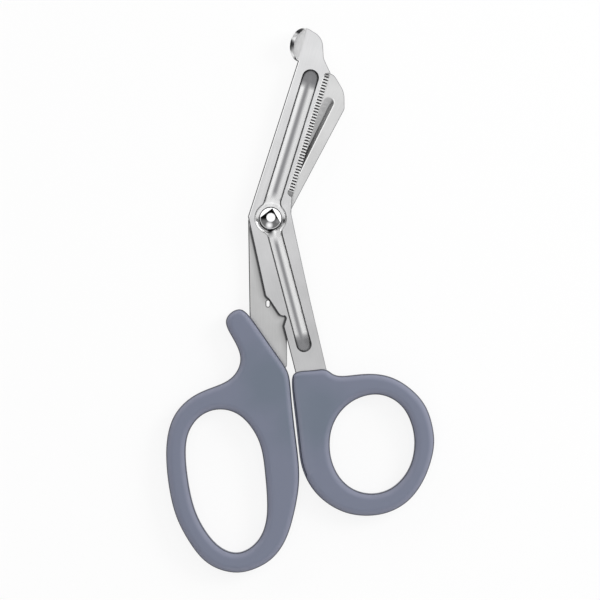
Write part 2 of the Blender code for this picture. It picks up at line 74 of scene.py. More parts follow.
def meshOf(name, points, faces):
    # a mesh from points in millimetres
    mesh = bpy.data.meshes.new(name)
    mesh.from_pydata((np.array(points) * mm).tolist(), [], faces)
    mesh.validate()
    return mesh


def readNumbers(values, key, width=1, kind=np.float32):
    # one property of a mesh's points, corners or faces
    numbers = np.zeros(len(values) * width, kind)
    values.foreach_get(key, numbers)
    return numbers.reshape(-1, width) if width > 1 else numbers


def smoothStep(low, high, value):
    share = np.clip((value - low) / (high - low), 0, 1)
    return share * share * (3 - 2 * share)


# outlines in the plane, all in millimetres

def filletOutline(corners, arcStep):
    # corners are x, y and fillet radius
    points = []
    for index, (x, y, radius) in enumerate(corners):
        here = Vector((x, y))
        back = Vector(corners[index - 1][:2]) - here
        ahead = Vector(corners[(index + 1) % len(corners)][:2]) - here
        turn = math.pi - back.angle(ahead)
        reach = min(radius * math.tan(turn / 2), 0.48 * back.length, 0.48 * ahead.length)
        if radius == 0 or reach < 0.02:
            points.append(here)
            continue
        start = here + back.normalized() * reach
        middle = here + (back.normalized() + ahead.normalized()).normalized() * reach / math.sin(turn / 2)
        sign = 1 if back.cross(ahead) < 0 else -1
        steps = max(2, math.ceil(math.degrees(turn) / arcStep))
        for step in range(steps + 1):
            points.append(middle + Matrix.Rotation(sign * turn * step / steps, 2) @ (start - middle))
    return [p for p, q in zip(points, points[-1:] + points[:-1]) if (p - q).length > 0.01]


def smoothLoop(points, stepLength):
    # a closed cubic curve through the points, with no kink in slope or bend
    knots = np.array(points, float)
    count = len(knots)
    spans = np.sqrt(np.linalg.norm(np.roll(knots, -1, axis=0) - knots, axis=1))
    system = np.zeros((count, count))
    pull = np.zeros((count, 2))
    for i in range(count):
        j = (i + 1) % count
        system[i, i - 1] += spans[i - 1]
        system[i, i] += 2 * (spans[i - 1] + spans[i])
        system[i, j] += spans[i]
        pull[i] = 6 * ((knots[j] - knots[i]) / spans[i] - (knots[i] - knots[i - 1]) / spans[i - 1])
    bend = np.linalg.solve(system, pull)
    curve = []
    for i in range(count):
        j = (i + 1) % count
        span = spans[i]
        steps = max(2, math.ceil(span**2 / stepLength))
        for step in range(steps):
            t = span * step / steps
            rest = span - t
            point = (bend[i] * rest**3 + bend[j] * t**3) / (6 * span)
            point += (knots[i] / span - bend[i] * span / 6) * rest
            point += (knots[j] / span - bend[j] * span / 6) * t
            curve.append(Vector(point))
    return curve


def signedArea(points):
    return sum(a.cross(b) for a, b in zip(points, points[1:] + points[:1])) / 2


def offsetLoop(points, distances):
    # moves a closed outline outward by one distance per point, inward where negative
    side = 1 if signedArea(points) > 0 else -1
    moved = []
    for index, here in enumerate(points):
        back = (here - points[index - 1]).normalized()
        ahead = (points[(index + 1) % len(points)] - here).normalized()
        along = (back + ahead).normalized()
        stretch = 1 / max(0.6, math.sqrt((1 + back.dot(ahead)) / 2))
        moved.append(here + Vector((along.y, -along.x)) * side * distances[index] * stretch)
    return moved


def ringOf(centre, radius, count):
    angles = [2 * math.pi * k / count for k in range(count)]
    return [Vector(centre) + radius * Vector((math.cos(a), math.sin(a))) for a in angles]


def capsuleOf(start, end, radius, endSteps):
    start, end = Vector(start), Vector(end)
    along = (end - start).normalized()
    points = []
    for centre, heading in ((end, along), (start, -along)):
        for step in range(endSteps + 1):
            points.append(centre + radius * (Matrix.Rotation(math.pi * (step / endSteps - 0.5), 2) @ heading))
    return points


def lineDistance(points, start, end):
    # distance of each row of points from a line, and how far along it the nearest place is
    start, end = np.array(start[:2], float), np.array(end[:2], float)
    along = end - start
    share = np.clip((points - start) @ along / (along @ along), 0, 1)
    return np.linalg.norm(points - start - share[:, None] * along, axis=1), share


def insideLoop(points, loop):
    x, y = points[:, 0], points[:, 1]
    result = np.zeros(len(points), bool)
    for a, b in zip(loop, loop[1:] + loop[:1]):
        if a.y != b.y:
            crosses = (a.y > y) != (b.y > y)
            result ^= crosses & (x < a.x + (b.x - a.x) * (y - a.y) / (b.y - a.y))
    return result


# blades: a stamped and pressed sheet, its two skins set by height rules

# what both blades share; heights count from the level where they meet
bladeSheet = {
    "thickness": 1.5,
    "faceLift": 0.45,
    "runningGap": 0.15,
    "meetingHeight": 4.2,
    "edgeBreak": 0.18,        # blanked and tumbled, so every sheared edge rolls over a little
    "lipWidth": 0.5,          # steep shoulder that the press leaves round a groove
    "lipDepth": 0.38,
    "dishLipDepth": 0.3,      # at the near side of the dish, where its wall is one steep cone
    "dishDepth": 1.02,
    "dishFarDepth": 0.52,     # the far side is pressed less
    "valleyDepth": 0.74,
    "valleySoftness": 0.2,    # how round the bottom of the V is
    "meetingRound": 0.25,     # where a valley runs out into the dish
    "ribWidth": 3.9,
    "troughWidth": 3.9,
    "troughDepth": 0.55,
    "troughValleyShift": 0.7,
    "dishDiameter": 11.3,
    "dishFloorDiameter": 7.9,
    "lipFillet": 2.4,         # where a groove runs into the dish
    "filletReach": 3.0,
    "bulgeFloorDiameter": 9.0,    # the dish as it stands out on the inner side
    "crossSpacing": 1.4,
    "boreDiameter": 4.6,
    "lockHoleDiameter": 5.0,
    "grindWidth": 2.05,
    "grindRunout": 1.5,
    "edgeLand": 0.25,
    "setWidth": 2.6,
    "setFade": 4.0,
    "arcStep": 6,             # degrees
}

# one row of small notches ground across the front cutting edge
serration = {
    "Notch Count": 41,
    "Notch Pitch": 1.055,
    "First Notch": 2.45,
    "Notch Length": 2.2,
    "Notch Half Width": 0.27,
    "Notch Half Height": 0.3,
    "Cutter Segments": 16,
}

frontBlade = {
    "side": 1,
    "heel": (7.45, 7.3),
    "tip": (20.85, 50.6),
    "grooves": [((-1.11, 0.07), (13.89, 48.93)), ((0.0, 0.0), (11.6, -43.9))],
    "grooveWidths": [5.9, 5.4],
    "ribs": [0],
    "troughs": [],
    "lockHole": (15.3, -60.6),
    "cornersBelow": [
        (11.9, -69.5, 2.5), (19.4, -69.5, 2.5), (20.6, -57.5, 3.0), (13.72, -28.3, 30.0),
        (8.6, -5.2, 20.0), (7.1, 2.0, 4.0)],
    "cornersAbove": [(18.5, 55.6, 5.0), (18.05, 63.0, 7.6)],
    "cornersSpine": [
        (-7.9, 0.6, 0.6), (-1.75, -27.2, 2.0), (-0.5, -28.3, 3.0), (3.0, -33.6, 1.2), (5.6, -34.2, 0.9),
        (4.5, -37.6, 1.6), (6.0, -43.3, 8.0), (8.2, -52.0, 6.0), (9.6, -57.5, 4.0)],
}

# blunt foot: the sheet curls up beside the tip
foot = {
    "foldTop": (12.9, 66.2),
    "foldBow": (12.3, 60.5),
    "foldBottom": (9.5, 54.7),
    "radius": 3.4,
    "foldSteps": 48,
    "bendSteps": 18,
}

rearBlade = {
    "side": -1,
    "heel": (-1.2, 10.3),
    "tip": (17.6, 51.2),
    "grooves": [((0.0, 0.0), (-0.7, -22.5))],
    "grooveWidths": [5.4],
    "ribs": [],
    "troughs": [((3.6, 7.2), (20.1, 40.3))],
    "lockHole": (-1.0, -58.0),
    "slotBottom": (-0.94, -30.27),
    "slotTop": (-0.94, -29.2),
    "slotWidth": 1.1,
    "cornersBelow": [
        (-7.35, -33.0, 0.0), (-6.6, -52.0, 6.0), (-4.8, -66.0, 2.5), (3.0, -66.0, 2.5), (3.6, -54.6, 2.0),
        (5.7, -51.4, 0.9), (5.7, -42.5, 20.0), (7.9, -22.0, 40.0), (7.15, 0.5, 4.0), (7.25, 3.3, 1.0)],
    "cornersAbove": [(25.75, 38.1, 2.4), (25.7, 44.0, 8.0), (22.3, 49.8, 4.0), (18.2, 51.9, 0.5)],
    "cornersBoss": [(-3.6, 7.4, 2.0), (-7.85, -0.4, 2.5)],
}


def edgeFrame(blade):
    # heel, direction along the cutting edge, direction across the blade, and length
    heel, tip = np.array(blade["heel"]), np.array(blade["tip"])
    along = (tip - heel) / np.linalg.norm(tip - heel)
    across = np.array((-along[1], along[0]))
    if (-heel) @ across < 0:
        across = -across
    return heel, along, across, np.linalg.norm(tip - heel)


def edgePoint(blade, place, inset):
    heel, along, across = edgeFrame(blade)[:3]
    return Vector(heel + along * place + across * inset)


def grindReach(place, length):
    # the ground strip runs out in a quarter round at both ends
    near = np.clip(np.minimum(place, length - place) / bladeSheet["grindRunout"], 0, 1)
    return bladeSheet["grindWidth"] * np.sqrt(1 - (1 - near) ** 2)


def lipFillets(blade):
    # centres of the rounds that join each groove's sides to the dish, with their spans
    sheet = bladeSheet
    rounds = []
    for (start, end), width in zip(blade["grooves"], blade["grooveWidths"]):
        start, end = Vector(start), Vector(end)
        along = (end - start).normalized()
        left = Vector((-along.y, along.x))
        axisOffset = start.dot(left)
        for sign in (1, -1):
            away = axisOffset * sign + width / 2 + sheet["lipFillet"]
            reach = math.sqrt((sheet["dishDiameter"] / 2 + sheet["lipFillet"]) ** 2 - away**2)
            centre = along * reach + left * sign * away
            rounds.append((centre, (-left * sign), (-centre).normalized()))
    return rounds


def pressInset(points, blade):
    # how far inside the outline of the pressed shapes each point is; negative outside them
    sheet = bladeSheet
    inset = sheet["dishDiameter"] / 2 - np.linalg.norm(points, axis=1)
    for (start, end), width in zip(blade["grooves"], blade["grooveWidths"]):
        inset = np.maximum(inset, width / 2 - lineDistance(points, start, end)[0])
    for centre, toGroove, toDish in lipFillets(blade):
        offset = points - np.array(centre)
        distance = np.linalg.norm(offset, axis=1)
        spread = toGroove.angle(toDish)
        a, b = np.array(toGroove), np.array(toDish)
        middle = (a + b) / np.linalg.norm(a + b)
        facing = offset @ middle / np.maximum(distance, 1e-6)
        within = facing > math.cos(spread / 2)
        filleted = distance - sheet["lipFillet"]
        inset = np.where(within & (filleted < sheet["filletReach"]), np.maximum(inset, filleted), inset)
    return inset


def grooveShare(points, groove, width):
    return np.clip(lineDistance(points, groove[0], groove[1])[0] / (width / 2), 0, 1)


def blendedMaximum(a, b, reach):
    # the larger of two depths, with their meeting line rounded off where neither is zero
    rounding = np.clip(reach - np.abs(a - b), 0, None) ** 2 / (4 * reach)
    return np.maximum(a, b) + rounding * np.clip(np.minimum(a, b) / reach, 0, 1)


def outerPress(points, blade):
    # depth of the grooves and the dish in the outer face: a steep lip, then a soft V or a cone
    sheet = bladeSheet
    radius = np.linalg.norm(points, axis=1)
    rim = sheet["dishDiameter"] / 2
    nearSide = smoothStep(1.5, -2.5, points[:, 1])
    inDish = smoothStep(rim + 0.3, rim - 0.1, radius)
    lipDepth = sheet["lipDepth"] - (sheet["lipDepth"] - sheet["dishLipDepth"]) * nearSide * inDish
    inset = pressInset(points, blade)
    straight = nearSide * inDish    # there the lip's wall is a plain slope
    lip = lipDepth * (smoothStep(0, sheet["lipWidth"], inset) * (1 - straight)
                      + np.clip(inset / sheet["lipWidth"], 0, 1) * straight)
    soft = sheet["valleySoftness"]
    valley = np.zeros(len(points))
    for groove, width in zip(blade["grooves"], blade["grooveWidths"]):
        share = grooveShare(points, groove, width - 2 * sheet["lipWidth"])
        rise = (np.sqrt(share**2 + soft**2) - soft) / (math.sqrt(1 + soft**2) - soft)
        valley = np.maximum(valley, (sheet["valleyDepth"] - lipDepth) * (1 - rise))
    span = rim - sheet["lipWidth"] - sheet["dishFloorDiameter"] / 2
    cone = np.clip((rim - sheet["lipWidth"] - radius) / span, 0, 1)
    dishDepth = sheet["dishFarDepth"] + (sheet["dishDepth"] - sheet["dishFarDepth"]) * nearSide
    return lip + blendedMaximum(valley, (dishDepth - lipDepth) * cone, sheet["meetingRound"])


def innerBulge(points, blade):
    # how far the inner face stands toward the other blade
    sheet = bladeSheet
    full = sheet["faceLift"] - sheet["runningGap"]
    rim = sheet["dishDiameter"] / 2
    floor = sheet["bulgeFloorDiameter"] / 2 + sheet["thickness"] * 0.25
    bulge = full * np.sin(np.clip((rim - np.linalg.norm(points, axis=1)) / (rim - floor), 0, 1) * math.pi / 2)
    for index in blade["ribs"]:
        share = grooveShare(points, blade["grooves"][index], sheet["ribWidth"])
        bulge = np.maximum(bulge, full * (1 - share ** 2))
    return bulge


def troughValley(start, end):
    # the trough's valley runs to the right of its middle, so its right flank is the steeper one
    axis = (Vector(end) - Vector(start)).normalized()
    right = Vector((axis.y, -axis.x))
    shift = right * bladeSheet["troughValleyShift"]
    return Vector(start) + shift, Vector(end) + shift, right


def troughShare(points, start, end):
    # 1 in the valley and 0 at the rim of a trough, with flat flanks between
    half, shift = bladeSheet["troughWidth"] / 2, bladeSheet["troughValleyShift"]
    low, high, right = troughValley(start, end)
    low, high, right = np.array(low), np.array(high), np.array(right)
    place = lineDistance(points, low, high)[1]
    offset = points - low - place[:, None] * (high - low)
    distance = np.linalg.norm(offset, axis=1)
    toward = offset @ right / np.maximum(distance, 1e-6) * shift
    rim = np.sqrt(toward**2 + half**2 - shift**2) - toward
    return np.clip(1 - distance / rim, 0, 1)


def troughPress(points, blade):
    press = np.zeros(len(points))
    for start, end in blade["troughs"]:
        press = np.maximum(press, bladeSheet["troughDepth"] * troughShare(points, start, end))
    return press


def edgeDistance(points, segments):
    # distance from the nearest broken edge
    best = np.full(len(points), 9.0)
    for a, b in segments:
        best = np.minimum(best, lineDistance(points, a, b)[0])
    return best


def breakDrop(distance):
    radius = bladeSheet["edgeBreak"]
    near = np.clip(radius - distance, 0, radius)
    return radius - np.sqrt(radius**2 - near**2)


def groundDrop(place, inset, length):
    # how far the ground strip lies below the outer face
    sheet = bladeSheet
    lean = sheet["faceLift"] - sheet["runningGap"]
    slope = (lean + sheet["thickness"] - sheet["edgeLand"]) / sheet["grindWidth"]
    return slope * np.clip(grindReach(place, length) - np.maximum(inset, 0), 0, None)


def stripSlope(length):
    return math.atan2(float(groundDrop(length / 2, 0.0, length)), bladeSheet["grindWidth"])


def skinHeights(points, blade, segments):
    # inner and outer skin above the level where the blades meet
    sheet = bladeSheet
    heel, along, across, length = edgeFrame(blade)
    place, inset = (points - heel) @ along, (points - heel) @ across
    fade = np.clip((np.minimum(place, length - place) + sheet["setFade"] / 2) / sheet["setFade"], 0, 1)
    near = np.clip(1 - np.maximum(inset, 0) / sheet["setWidth"], 0, 1)
    lean = (sheet["faceLift"] - sheet["runningGap"]) * fade * near
    press = troughPress(points, blade)
    inner = sheet["faceLift"] - lean - innerBulge(points, blade) + press
    outer = sheet["faceLift"] + sheet["thickness"] - outerPress(points, blade) + press
    outer = outer - groundDrop(place, inset, length)
    drop = breakDrop(edgeDistance(points, segments))
    middle = (inner + outer) / 2
    return np.minimum(inner + drop, middle - 0.05), np.maximum(outer - drop, middle + 0.05)


def foldPoint(turn):
    t = (1 - math.cos(turn)) / 2
    top, bow, bottom = (Vector(foot[k]) for k in ("foldTop", "foldBow", "foldBottom"))
    return top * (1 - t) ** 2 + bow * 2 * t * (1 - t) + bottom * t**2


def footSkins(turn, share):
    # upper and lower skin of the curl, from the fold at share 0 to the rim at share 1
    sheet = bladeSheet
    fold = (Vector(foot["foldBottom"]) - Vector(foot["foldTop"])).normalized()
    away = Vector((fold.y, -fold.x))
    rimBend = math.pi / 2 * math.sin(turn)
    bend = rimBend * share
    reach = (foot["radius"] + sheet["thickness"]) * math.sin(turn) - sheet["thickness"] * math.sin(rimBend)
    rise = foot["radius"] * math.sin(turn) ** 2
    across = reach * math.sin(bend) / math.sin(rimBend)
    height = rise * (1 - math.cos(bend)) / (1 - math.cos(rimBend))
    base = foldPoint(turn)
    middle = Vector((0, 0, sheet["faceLift"] + sheet["thickness"]))
    upper = Vector((*(base + away * across), height)) + middle
    normal = Vector((*(away * math.sin(bend)), -math.cos(bend)))
    lower = upper + normal * sheet["thickness"]
    fromRim = (1 - share) * math.hypot(reach, rise) * 1.1
    drop = float(breakDrop(np.array([fromRim]))[0])
    return upper + normal * drop, lower - normal * drop


def crossLines(start, end, half):
    # short lines across a groove, so that its shading can change along it
    start, end = Vector(start), Vector(end)
    along = (end - start).normalized()
    side = Vector((-along.y, along.x)) * half
    steps = math.ceil((end - start).length / bladeSheet["crossSpacing"])
    middles = [start.lerp(end, k / steps) for k in range(1, steps + 1)]
    middles = [m for m in middles if m.length > bladeSheet["dishDiameter"] / 2 + 0.3]
    return [([m - side, m + side], False) for m in middles]


def pressGuides(blade):
    # closed and open lines that the mesh follows round the pressed shapes
    sheet = bladeSheet
    guides = []
    lip = sheet["lipWidth"]
    lipInsets = [-0.06] + [lip * k / 4 for k in range(5)]

    def addCapsules(start, end, radii, endSteps):
        guides.extend((capsuleOf(start, end, radius, endSteps), True) for radius in radii)

    for (start, end), width in zip(blade["grooves"], blade["grooveWidths"]):
        half = width / 2
        shares = (0.75, 0.5, 0.35, 0.25, 0.17, 0.1, 0.05)
        addCapsules(start, end, [half - inset for inset in lipInsets], 30)
        addCapsules(start, end, [(half - lip) * share for share in shares], 20)
        guides.append(([Vector(start), Vector(end)], False))
        guides += crossLines(start, end, half)
    for index in blade["ribs"]:
        half = sheet["ribWidth"] / 2
        addCapsules(*blade["grooves"][index], [half * share for share in (1.0, 0.85, 0.65)], 20)
    for start, end in blade["troughs"]:
        half = sheet["troughWidth"] / 2
        addCapsules(start, end, [half + extra for extra in (0.3, 0.0, -0.06, -0.2)], 24)
        low, high = troughValley(start, end)[:2]
        guides.append(([low, high], False))
        addCapsules(low, high, [0.15], 8)
        addCapsules(low, high, [0.6], 16)
        guides += crossLines(start, end, half - 0.2)
    rim, floor = sheet["dishDiameter"] / 2, sheet["dishFloorDiameter"] / 2
    cone = [rim - lip - 0.12 * k for k in range(1, 9)]
    for radius in [rim - inset for inset in lipInsets] + cone + [floor, floor - 0.3]:
        guides.append((ringOf((0, 0), radius, 120), True))
    for centre, toGroove, toDish in lipFillets(blade):
        spread = toGroove.angle_signed(toDish)
        for inset in lipInsets:
            radius = sheet["lipFillet"] + inset
            arc = [centre + radius * (Matrix.Rotation(-spread * k / 14, 2) @ toGroove) for k in range(15)]
            guides.append((arc, False))
    return guides


def edgeGuides(blade):
    sheet = bladeSheet
    length = edgeFrame(blade)[3]
    ramp = [sheet["grindRunout"] * (1 - math.cos(math.pi / 2 * k / 10)) for k in range(11)]
    straight = length - 2 * sheet["grindRunout"]
    middle = [sheet["grindRunout"] + straight * k / 32 for k in range(1, 32)]
    places = ramp + middle + [length - place for place in reversed(ramp)]
    strip = [edgePoint(blade, place, float(grindReach(np.array(place), length))) for place in places]
    guides = [(strip, False)]
    half = sheet["setFade"] / 2
    spread = sorted([length * k / 24 for k in range(25)] + [half, length - half])
    for inset in (sheet["setWidth"], sheet["setWidth"] / 2):
        guides.append(([edgePoint(blade, place, inset) for place in spread], False))
    crossInsets = (0.05, 1.0, sheet["setWidth"])
    for end in (0.0, length):
        for step in range(-4, 5):
            place = end + step * half / 4
            guides.append(([edgePoint(blade, place, inset) for inset in crossInsets], False))
    return guides


def triangulateSheet(outline, holes, guides):
    points, edges = [], []
    for line, closed in [(outline, True)] + [(hole, True) for hole in holes] + guides:
        start = len(points)
        points += line
        edges += [(start + k, start + k + 1) for k in range(len(line) - 1)]
        if closed:
            edges.append((len(points) - 1, start))
    flat, _, faces = delaunay_2d_cdt(points, edges, [], 1, 1e-5)[:3]
    flat = np.array([tuple(p) for p in flat])
    faces = np.array([tuple(f) for f in faces])
    middles = flat[faces].mean(axis=1)
    kept = insideLoop(middles, outline)
    for hole in holes:
        kept &= ~insideLoop(middles, hole)
    return flat, [tuple(int(k) for k in face) for face in faces[kept]]


def sheetMesh(name, upper, lower, faces):
    # two skins with the same faces, and a wall along every free edge
    count = len(upper)
    uses = {}
    for face in faces:
        for a, b in zip(face, face[1:] + face[:1]):
            uses.setdefault(frozenset((a, b)), []).append((a, b))
    walls = [(b, a, a + count, b + count) for ((a, b),) in (u for u in uses.values() if len(u) == 1)]
    allFaces = list(faces) + [tuple(k + count for k in reversed(face)) for face in faces] + walls
    used = sorted({k for face in allFaces for k in face})
    renumber = {old: new for new, old in enumerate(used)}
    points = np.vstack([upper, lower])[used]
    return meshOf(name, points, [tuple(renumber[k] for k in face) for face in allFaces])


def bladeOutline(blade):
    # rounded outline right round the blade, and the fold of the foot, which the curl goes on from
    length = edgeFrame(blade)[3]
    ramp = [0.0, 0.2, 0.8, 1.9]
    heelSide = [(*edgePoint(blade, p, 0), 0.0) for p in ramp]
    tipSide = [(*edgePoint(blade, length - p, 0), 0.0) for p in reversed(ramp)]
    below, above, fold = blade["cornersBelow"], blade["cornersAbove"], []
    if blade is frontBlade:
        steps = foot["foldSteps"]
        fold = [(*foldPoint(math.pi * k / steps), 0.0) for k in range(steps + 1)]
        corners = below + heelSide + tipSide + above + fold + blade["cornersSpine"]
    else:
        corners = below + above + tipSide[::-1] + heelSide[::-1] + blade["cornersBoss"]
    return filletOutline(corners, bladeSheet["arcStep"]), fold


def brokenSegments(blade, outline, holes, fold):
    # every piece of outline but the cutting edge and the fold
    heel, along, across, length = edgeFrame(blade)
    folded = {(round(x, 3), round(y, 3)) for x, y, _ in fold}
    segments = []
    for loop in [outline] + holes:
        for a, b in zip(loop, loop[1:] + loop[:1]):
            middle = np.array((a + b) / 2)
            onEdge = abs((middle - heel) @ across) < 0.03 and 0 < (middle - heel) @ along < length
            onFold = all((round(p.x, 3), round(p.y, 3)) in folded for p in (a, b))
            if not onEdge and not onFold:
                segments.append((tuple(a), tuple(b)))
    return segments


def bladeMesh(name, blade):
    sheet = bladeSheet
    outline, fold = bladeOutline(blade)
    holes = [ringOf((0, 0), sheet["boreDiameter"] / 2, 64),
             ringOf(blade["lockHole"], sheet["lockHoleDiameter"] / 2, 48)]
    guides = pressGuides(blade) + edgeGuides(blade)
    if "slotTop" in blade:
        holes.append(capsuleOf(blade["slotBottom"], blade["slotTop"], blade["slotWidth"] / 2, 16))
        guides += [(castShadowLine(away), False) for away in (0.0, 0.2, 0.4, 0.6, 0.8, 1.2, 1.7, 2.6)]
    segments = brokenSegments(blade, outline, holes, fold)
    for share in (0.12, 0.35, 0.65, 1.0, 1.8, 3.4):
        inset = sheet["edgeBreak"] * share
        guides.append((offsetLoop(outline, [-inset] * len(outline)), True))
        guides += [(offsetLoop(hole, [inset] * len(hole)), True) for hole in holes]
    flat, faces = triangulateSheet(outline, holes, guides)
    inner, outer = skinHeights(flat, blade, segments)
    upper = np.column_stack([flat, outer]).tolist()
    lower = np.column_stack([flat, inner]).tolist()
    if fold:
        places = {(round(x, 3), round(y, 3)): k for k, (x, y) in enumerate(flat)}
        shares = [k / foot["bendSteps"] for k in range(1, foot["bendSteps"])] + [0.97, 0.985, 0.993, 1.0]
        rows = []
        for k, (x, y, _) in enumerate(fold):
            row = [places[(round(x, 3), round(y, 3))]]
            for share in shares:
                if 0 < k < foot["foldSteps"]:
                    top, bottom = footSkins(math.pi * k / foot["foldSteps"], share)
                    row.append(len(upper))
                    upper.append(tuple(top))
                    lower.append(tuple(bottom))
                else:
                    row.append(row[0])    # the curl closes to a point at both ends of the fold
            rows.append(row)
        for row, following in zip(rows, rows[1:]):
            for step in range(len(shares)):
                face = (row[step], row[step + 1], following[step + 1], following[step])
                face = tuple(dict.fromkeys(face))
                if len(face) > 2:
                    faces.append(face)
    upper, lower = np.array(upper), np.array(lower)
    for skin in (upper, lower):
        skin[:, 2] = sheet["meetingHeight"] + blade["side"] * skin[:, 2]
    if blade["side"] < 0:
        upper, lower = lower, upper
    return sheetMesh(name, upper, lower, faces)


def serrationTree():
    # notch cutters set out along the cutting edge and taken out of the blade
    tree = bpy.data.node_groups.new("serrationRow", "GeometryNodeTree")
    sockets = {
        "Geometry": ["Geometry"],
        "Int": ["Notch Count", "Cutter Segments"],
        "Float": ["Notch Pitch", "First Notch", "Notch Length", "Notch Half Width", "Notch Half Height",
                  "Edge Turn", "Cutter Tilt"],
        "Vector": ["Edge Heel"],
        "Material": ["Steel"],
    }
    for kind, names in sockets.items():
        for name in names:
            tree.interface.new_socket(name, in_out="INPUT", socket_type="NodeSocket" + kind)
    tree.interface.new_socket("Geometry", in_out="OUTPUT", socket_type="NodeSocketGeometry")
    given = tree.nodes.new("NodeGroupInput").outputs
    place = addNode(tree, "ShaderNodeCombineXYZ", inputs={"X": given["First Notch"]})
    step = addNode(tree, "ShaderNodeCombineXYZ", inputs={"X": given["Notch Pitch"]})
    row = addNode(tree, "GeometryNodeMeshLine", {"mode": "OFFSET"}, {
        "Count": given["Notch Count"], "Start Location": place, "Offset": step})
    wheel = addNode(tree, "GeometryNodeMeshCylinder", inputs={
        "Vertices": given["Cutter Segments"], "Radius": 1.0, "Depth": 2.0})
    size = addNode(tree, "ShaderNodeCombineXYZ", inputs={
        "X": given["Notch Half Width"], "Y": given["Notch Half Height"], "Z": given["Notch Length"]})
    tilt = addNode(tree, "ShaderNodeCombineXYZ", inputs={"X": given["Cutter Tilt"]})
    row = addNode(tree, "GeometryNodeInstanceOnPoints", inputs={
        "Points": row, "Instance": wheel,
        "Rotation": tilt, "Scale": size})
    turn = addNode(tree, "ShaderNodeCombineXYZ", inputs={"Z": given["Edge Turn"]})
    moved = addNode(tree, "GeometryNodeTransform", inputs={
        "Geometry": row, "Translation": given["Edge Heel"], "Rotation": turn})
    solid = addNode(tree, "GeometryNodeRealizeInstances", inputs={"Geometry": moved})
    cut = addNode(tree, "GeometryNodeMeshBoolean", {"operation": "DIFFERENCE", "solver": "MANIFOLD"}, {
        "Mesh 1": given["Geometry"], "Mesh 2": solid})
    real = addNode(tree, "GeometryNodeRealizeInstances", inputs={"Geometry": cut})
    steel = addNode(tree, "GeometryNodeSetMaterial", inputs={
        "Geometry": real, "Material": given["Steel"]})
    out = tree.nodes.new("NodeGroupOutput")
    tree.links.new(steel.outputs[0], out.inputs[0])
    return tree


def cutSerration(item, material):
    # the tree's inputs are set by identifier, then the result becomes a plain mesh
    sheet = bladeSheet
    tree = serrationTree()
    heel, along, _, length = edgeFrame(frontBlade)
    top = sheet["meetingHeight"] + sheet["runningGap"] + sheet["edgeLand"]
    values = {key: value if isinstance(value, int) else value * mm for key, value in serration.items()}
    values["Edge Turn"] = math.atan2(along[1], along[0])
    values["Cutter Tilt"] = stripSlope(length) + math.pi / 2
    values["Edge Heel"] = (heel[0] * mm, heel[1] * mm, top * mm)
    values["Steel"] = material
    modifier = item.modifiers.new("serrationRow", "NODES")
    modifier.node_group = tree
    for socket in tree.interface.items_tree:
        if socket.in_out == "INPUT" and socket.name in values:
            modifier[socket.identifier] = values[socket.name]
    evaluated = item.evaluated_get(bpy.context.evaluated_depsgraph_get())
    plain = bpy.data.meshes.new_from_object(evaluated)
    item.modifiers.clear()
    plain.name = item.data.name
    item.data = plain


# the finish of each place on a blade, with the light and shade painted into it, read by its material

bladeMarks = {
    "grooveBurnish": 0.5,     # the press leaves the grooves half as bright as the dish
    # half width and shift of each groove's valley, darkened by painted shade as a dark reflection, and how
    # strong the painted highlight on its left (-) or right (+) flank is
    "valleys": [(1.5, -0.2, -0.36), (1.15, -0.3, 0.5)],
    # where marks fade in and out, as mm from the pivot; the flanks' edge is mm from the valley
    "valleyFade": (6.2, 9.5),
    "flankFade": (6.0, 9.0),
    "flankEdge": (0.5, 1.3),
    "polishFade": (5.5, 4.8),
    "arcPolishFade": (6.5, 5.8),
    "arcFade": (6.1, 5.5),
    "lipFade": (5.7, 6.8),
    "capShade": 0.16,
    "dishHighlight": 0.5,         # painted highlight on the far side of the dish
    # painted highlight arcs, as reflections, from and to these degrees, how bright, and how much of the
    # polish is left
    "dishHighlightArcs": [(192, 244, 0.9, 1.0), (288, 340, 1.0, 0.15)],
    "capLength": 4.0,         # painted shade at the end of a groove
    # painted shade along the lips of the grooves and the dish
    "lipDark": 0.85,
    "dishLipDark": 0.5,
    "tangLipDark": (0.88, 0.6),    # left and right
    # painted shade in the notches
    "notchDark": 0.9,
    "landPolish": 0.25,
    "landBright": 1.0,        # painted highlight on the ground strip between the notches
    # painted shade at the heel of the ground strip
    "heelDark": 0.75,
    # painted shade round the slot
    "slotDark": 0.7,
    "sideDark": 0.85,         # rolled side that turns away from the light
    # painted highlight just inside the edges that face left
    "sideBright": 0.65,
    "sheared": 0.8,           # torn grey wall of the blanked edge
    "footRough": -1.6,        # bending coarsens the surface
    # painted highlights on the curl and on its rim
    "footBright": 0.9,
    "rimBright": 0.7,
    "rimShare": 0.515,        # of the sheet's thickness, round the middle of the rim
    # painted dark reflections round the rim of the foot, as x, y and how far they reach
    "rimMarks": [(9.9, 65.6, 2.2), (6.6, 60.5, 2.6), (8.9, 55.0, 1.6)],
    # painted shade on the trough's right flank, and on its left flank toward the valley
    "troughRight": 0.42,
    "troughLeft": 0.4,
    "wedgeHalf": 1.7,         # painted shade: a dark reflection in the corner where the groove leaves the screw head
    "wedgeEnd": 6.7,
    "castShadowDark": 0.7,           # painted shadow that the front tang's edge casts on the rear one
    "castShadowGrey": 0.22,
}


def sideEdges(blade, facing):
    # the stretches of outline that face left (-1) or right (1), without the fold and the cutting edge
    outline, fold = bladeOutline(blade)
    side = 1 if signedArea(outline) > 0 else -1
    return [(a, b) for a, b in brokenSegments(blade, outline, [], fold)
            if (b[1] - a[1]) * side * facing > 0.45 * math.hypot(b[0] - a[0], b[1] - a[1])]


def castShadowLine(away):
    # the left edge of the front tang, moved to the left by this much
    outline = bladeOutline(frontBlade)[0]
    moved = offsetLoop(outline, [away] * len(outline))
    line = []
    for a, b in zip(moved, moved[1:]):
        steps = math.ceil((b - a).length)
        line += [a.lerp(b, k / steps) for k in range(steps)]
    return [p for p in line if -50 < p.y < -3 and p.x < 0.2 * -p.y]


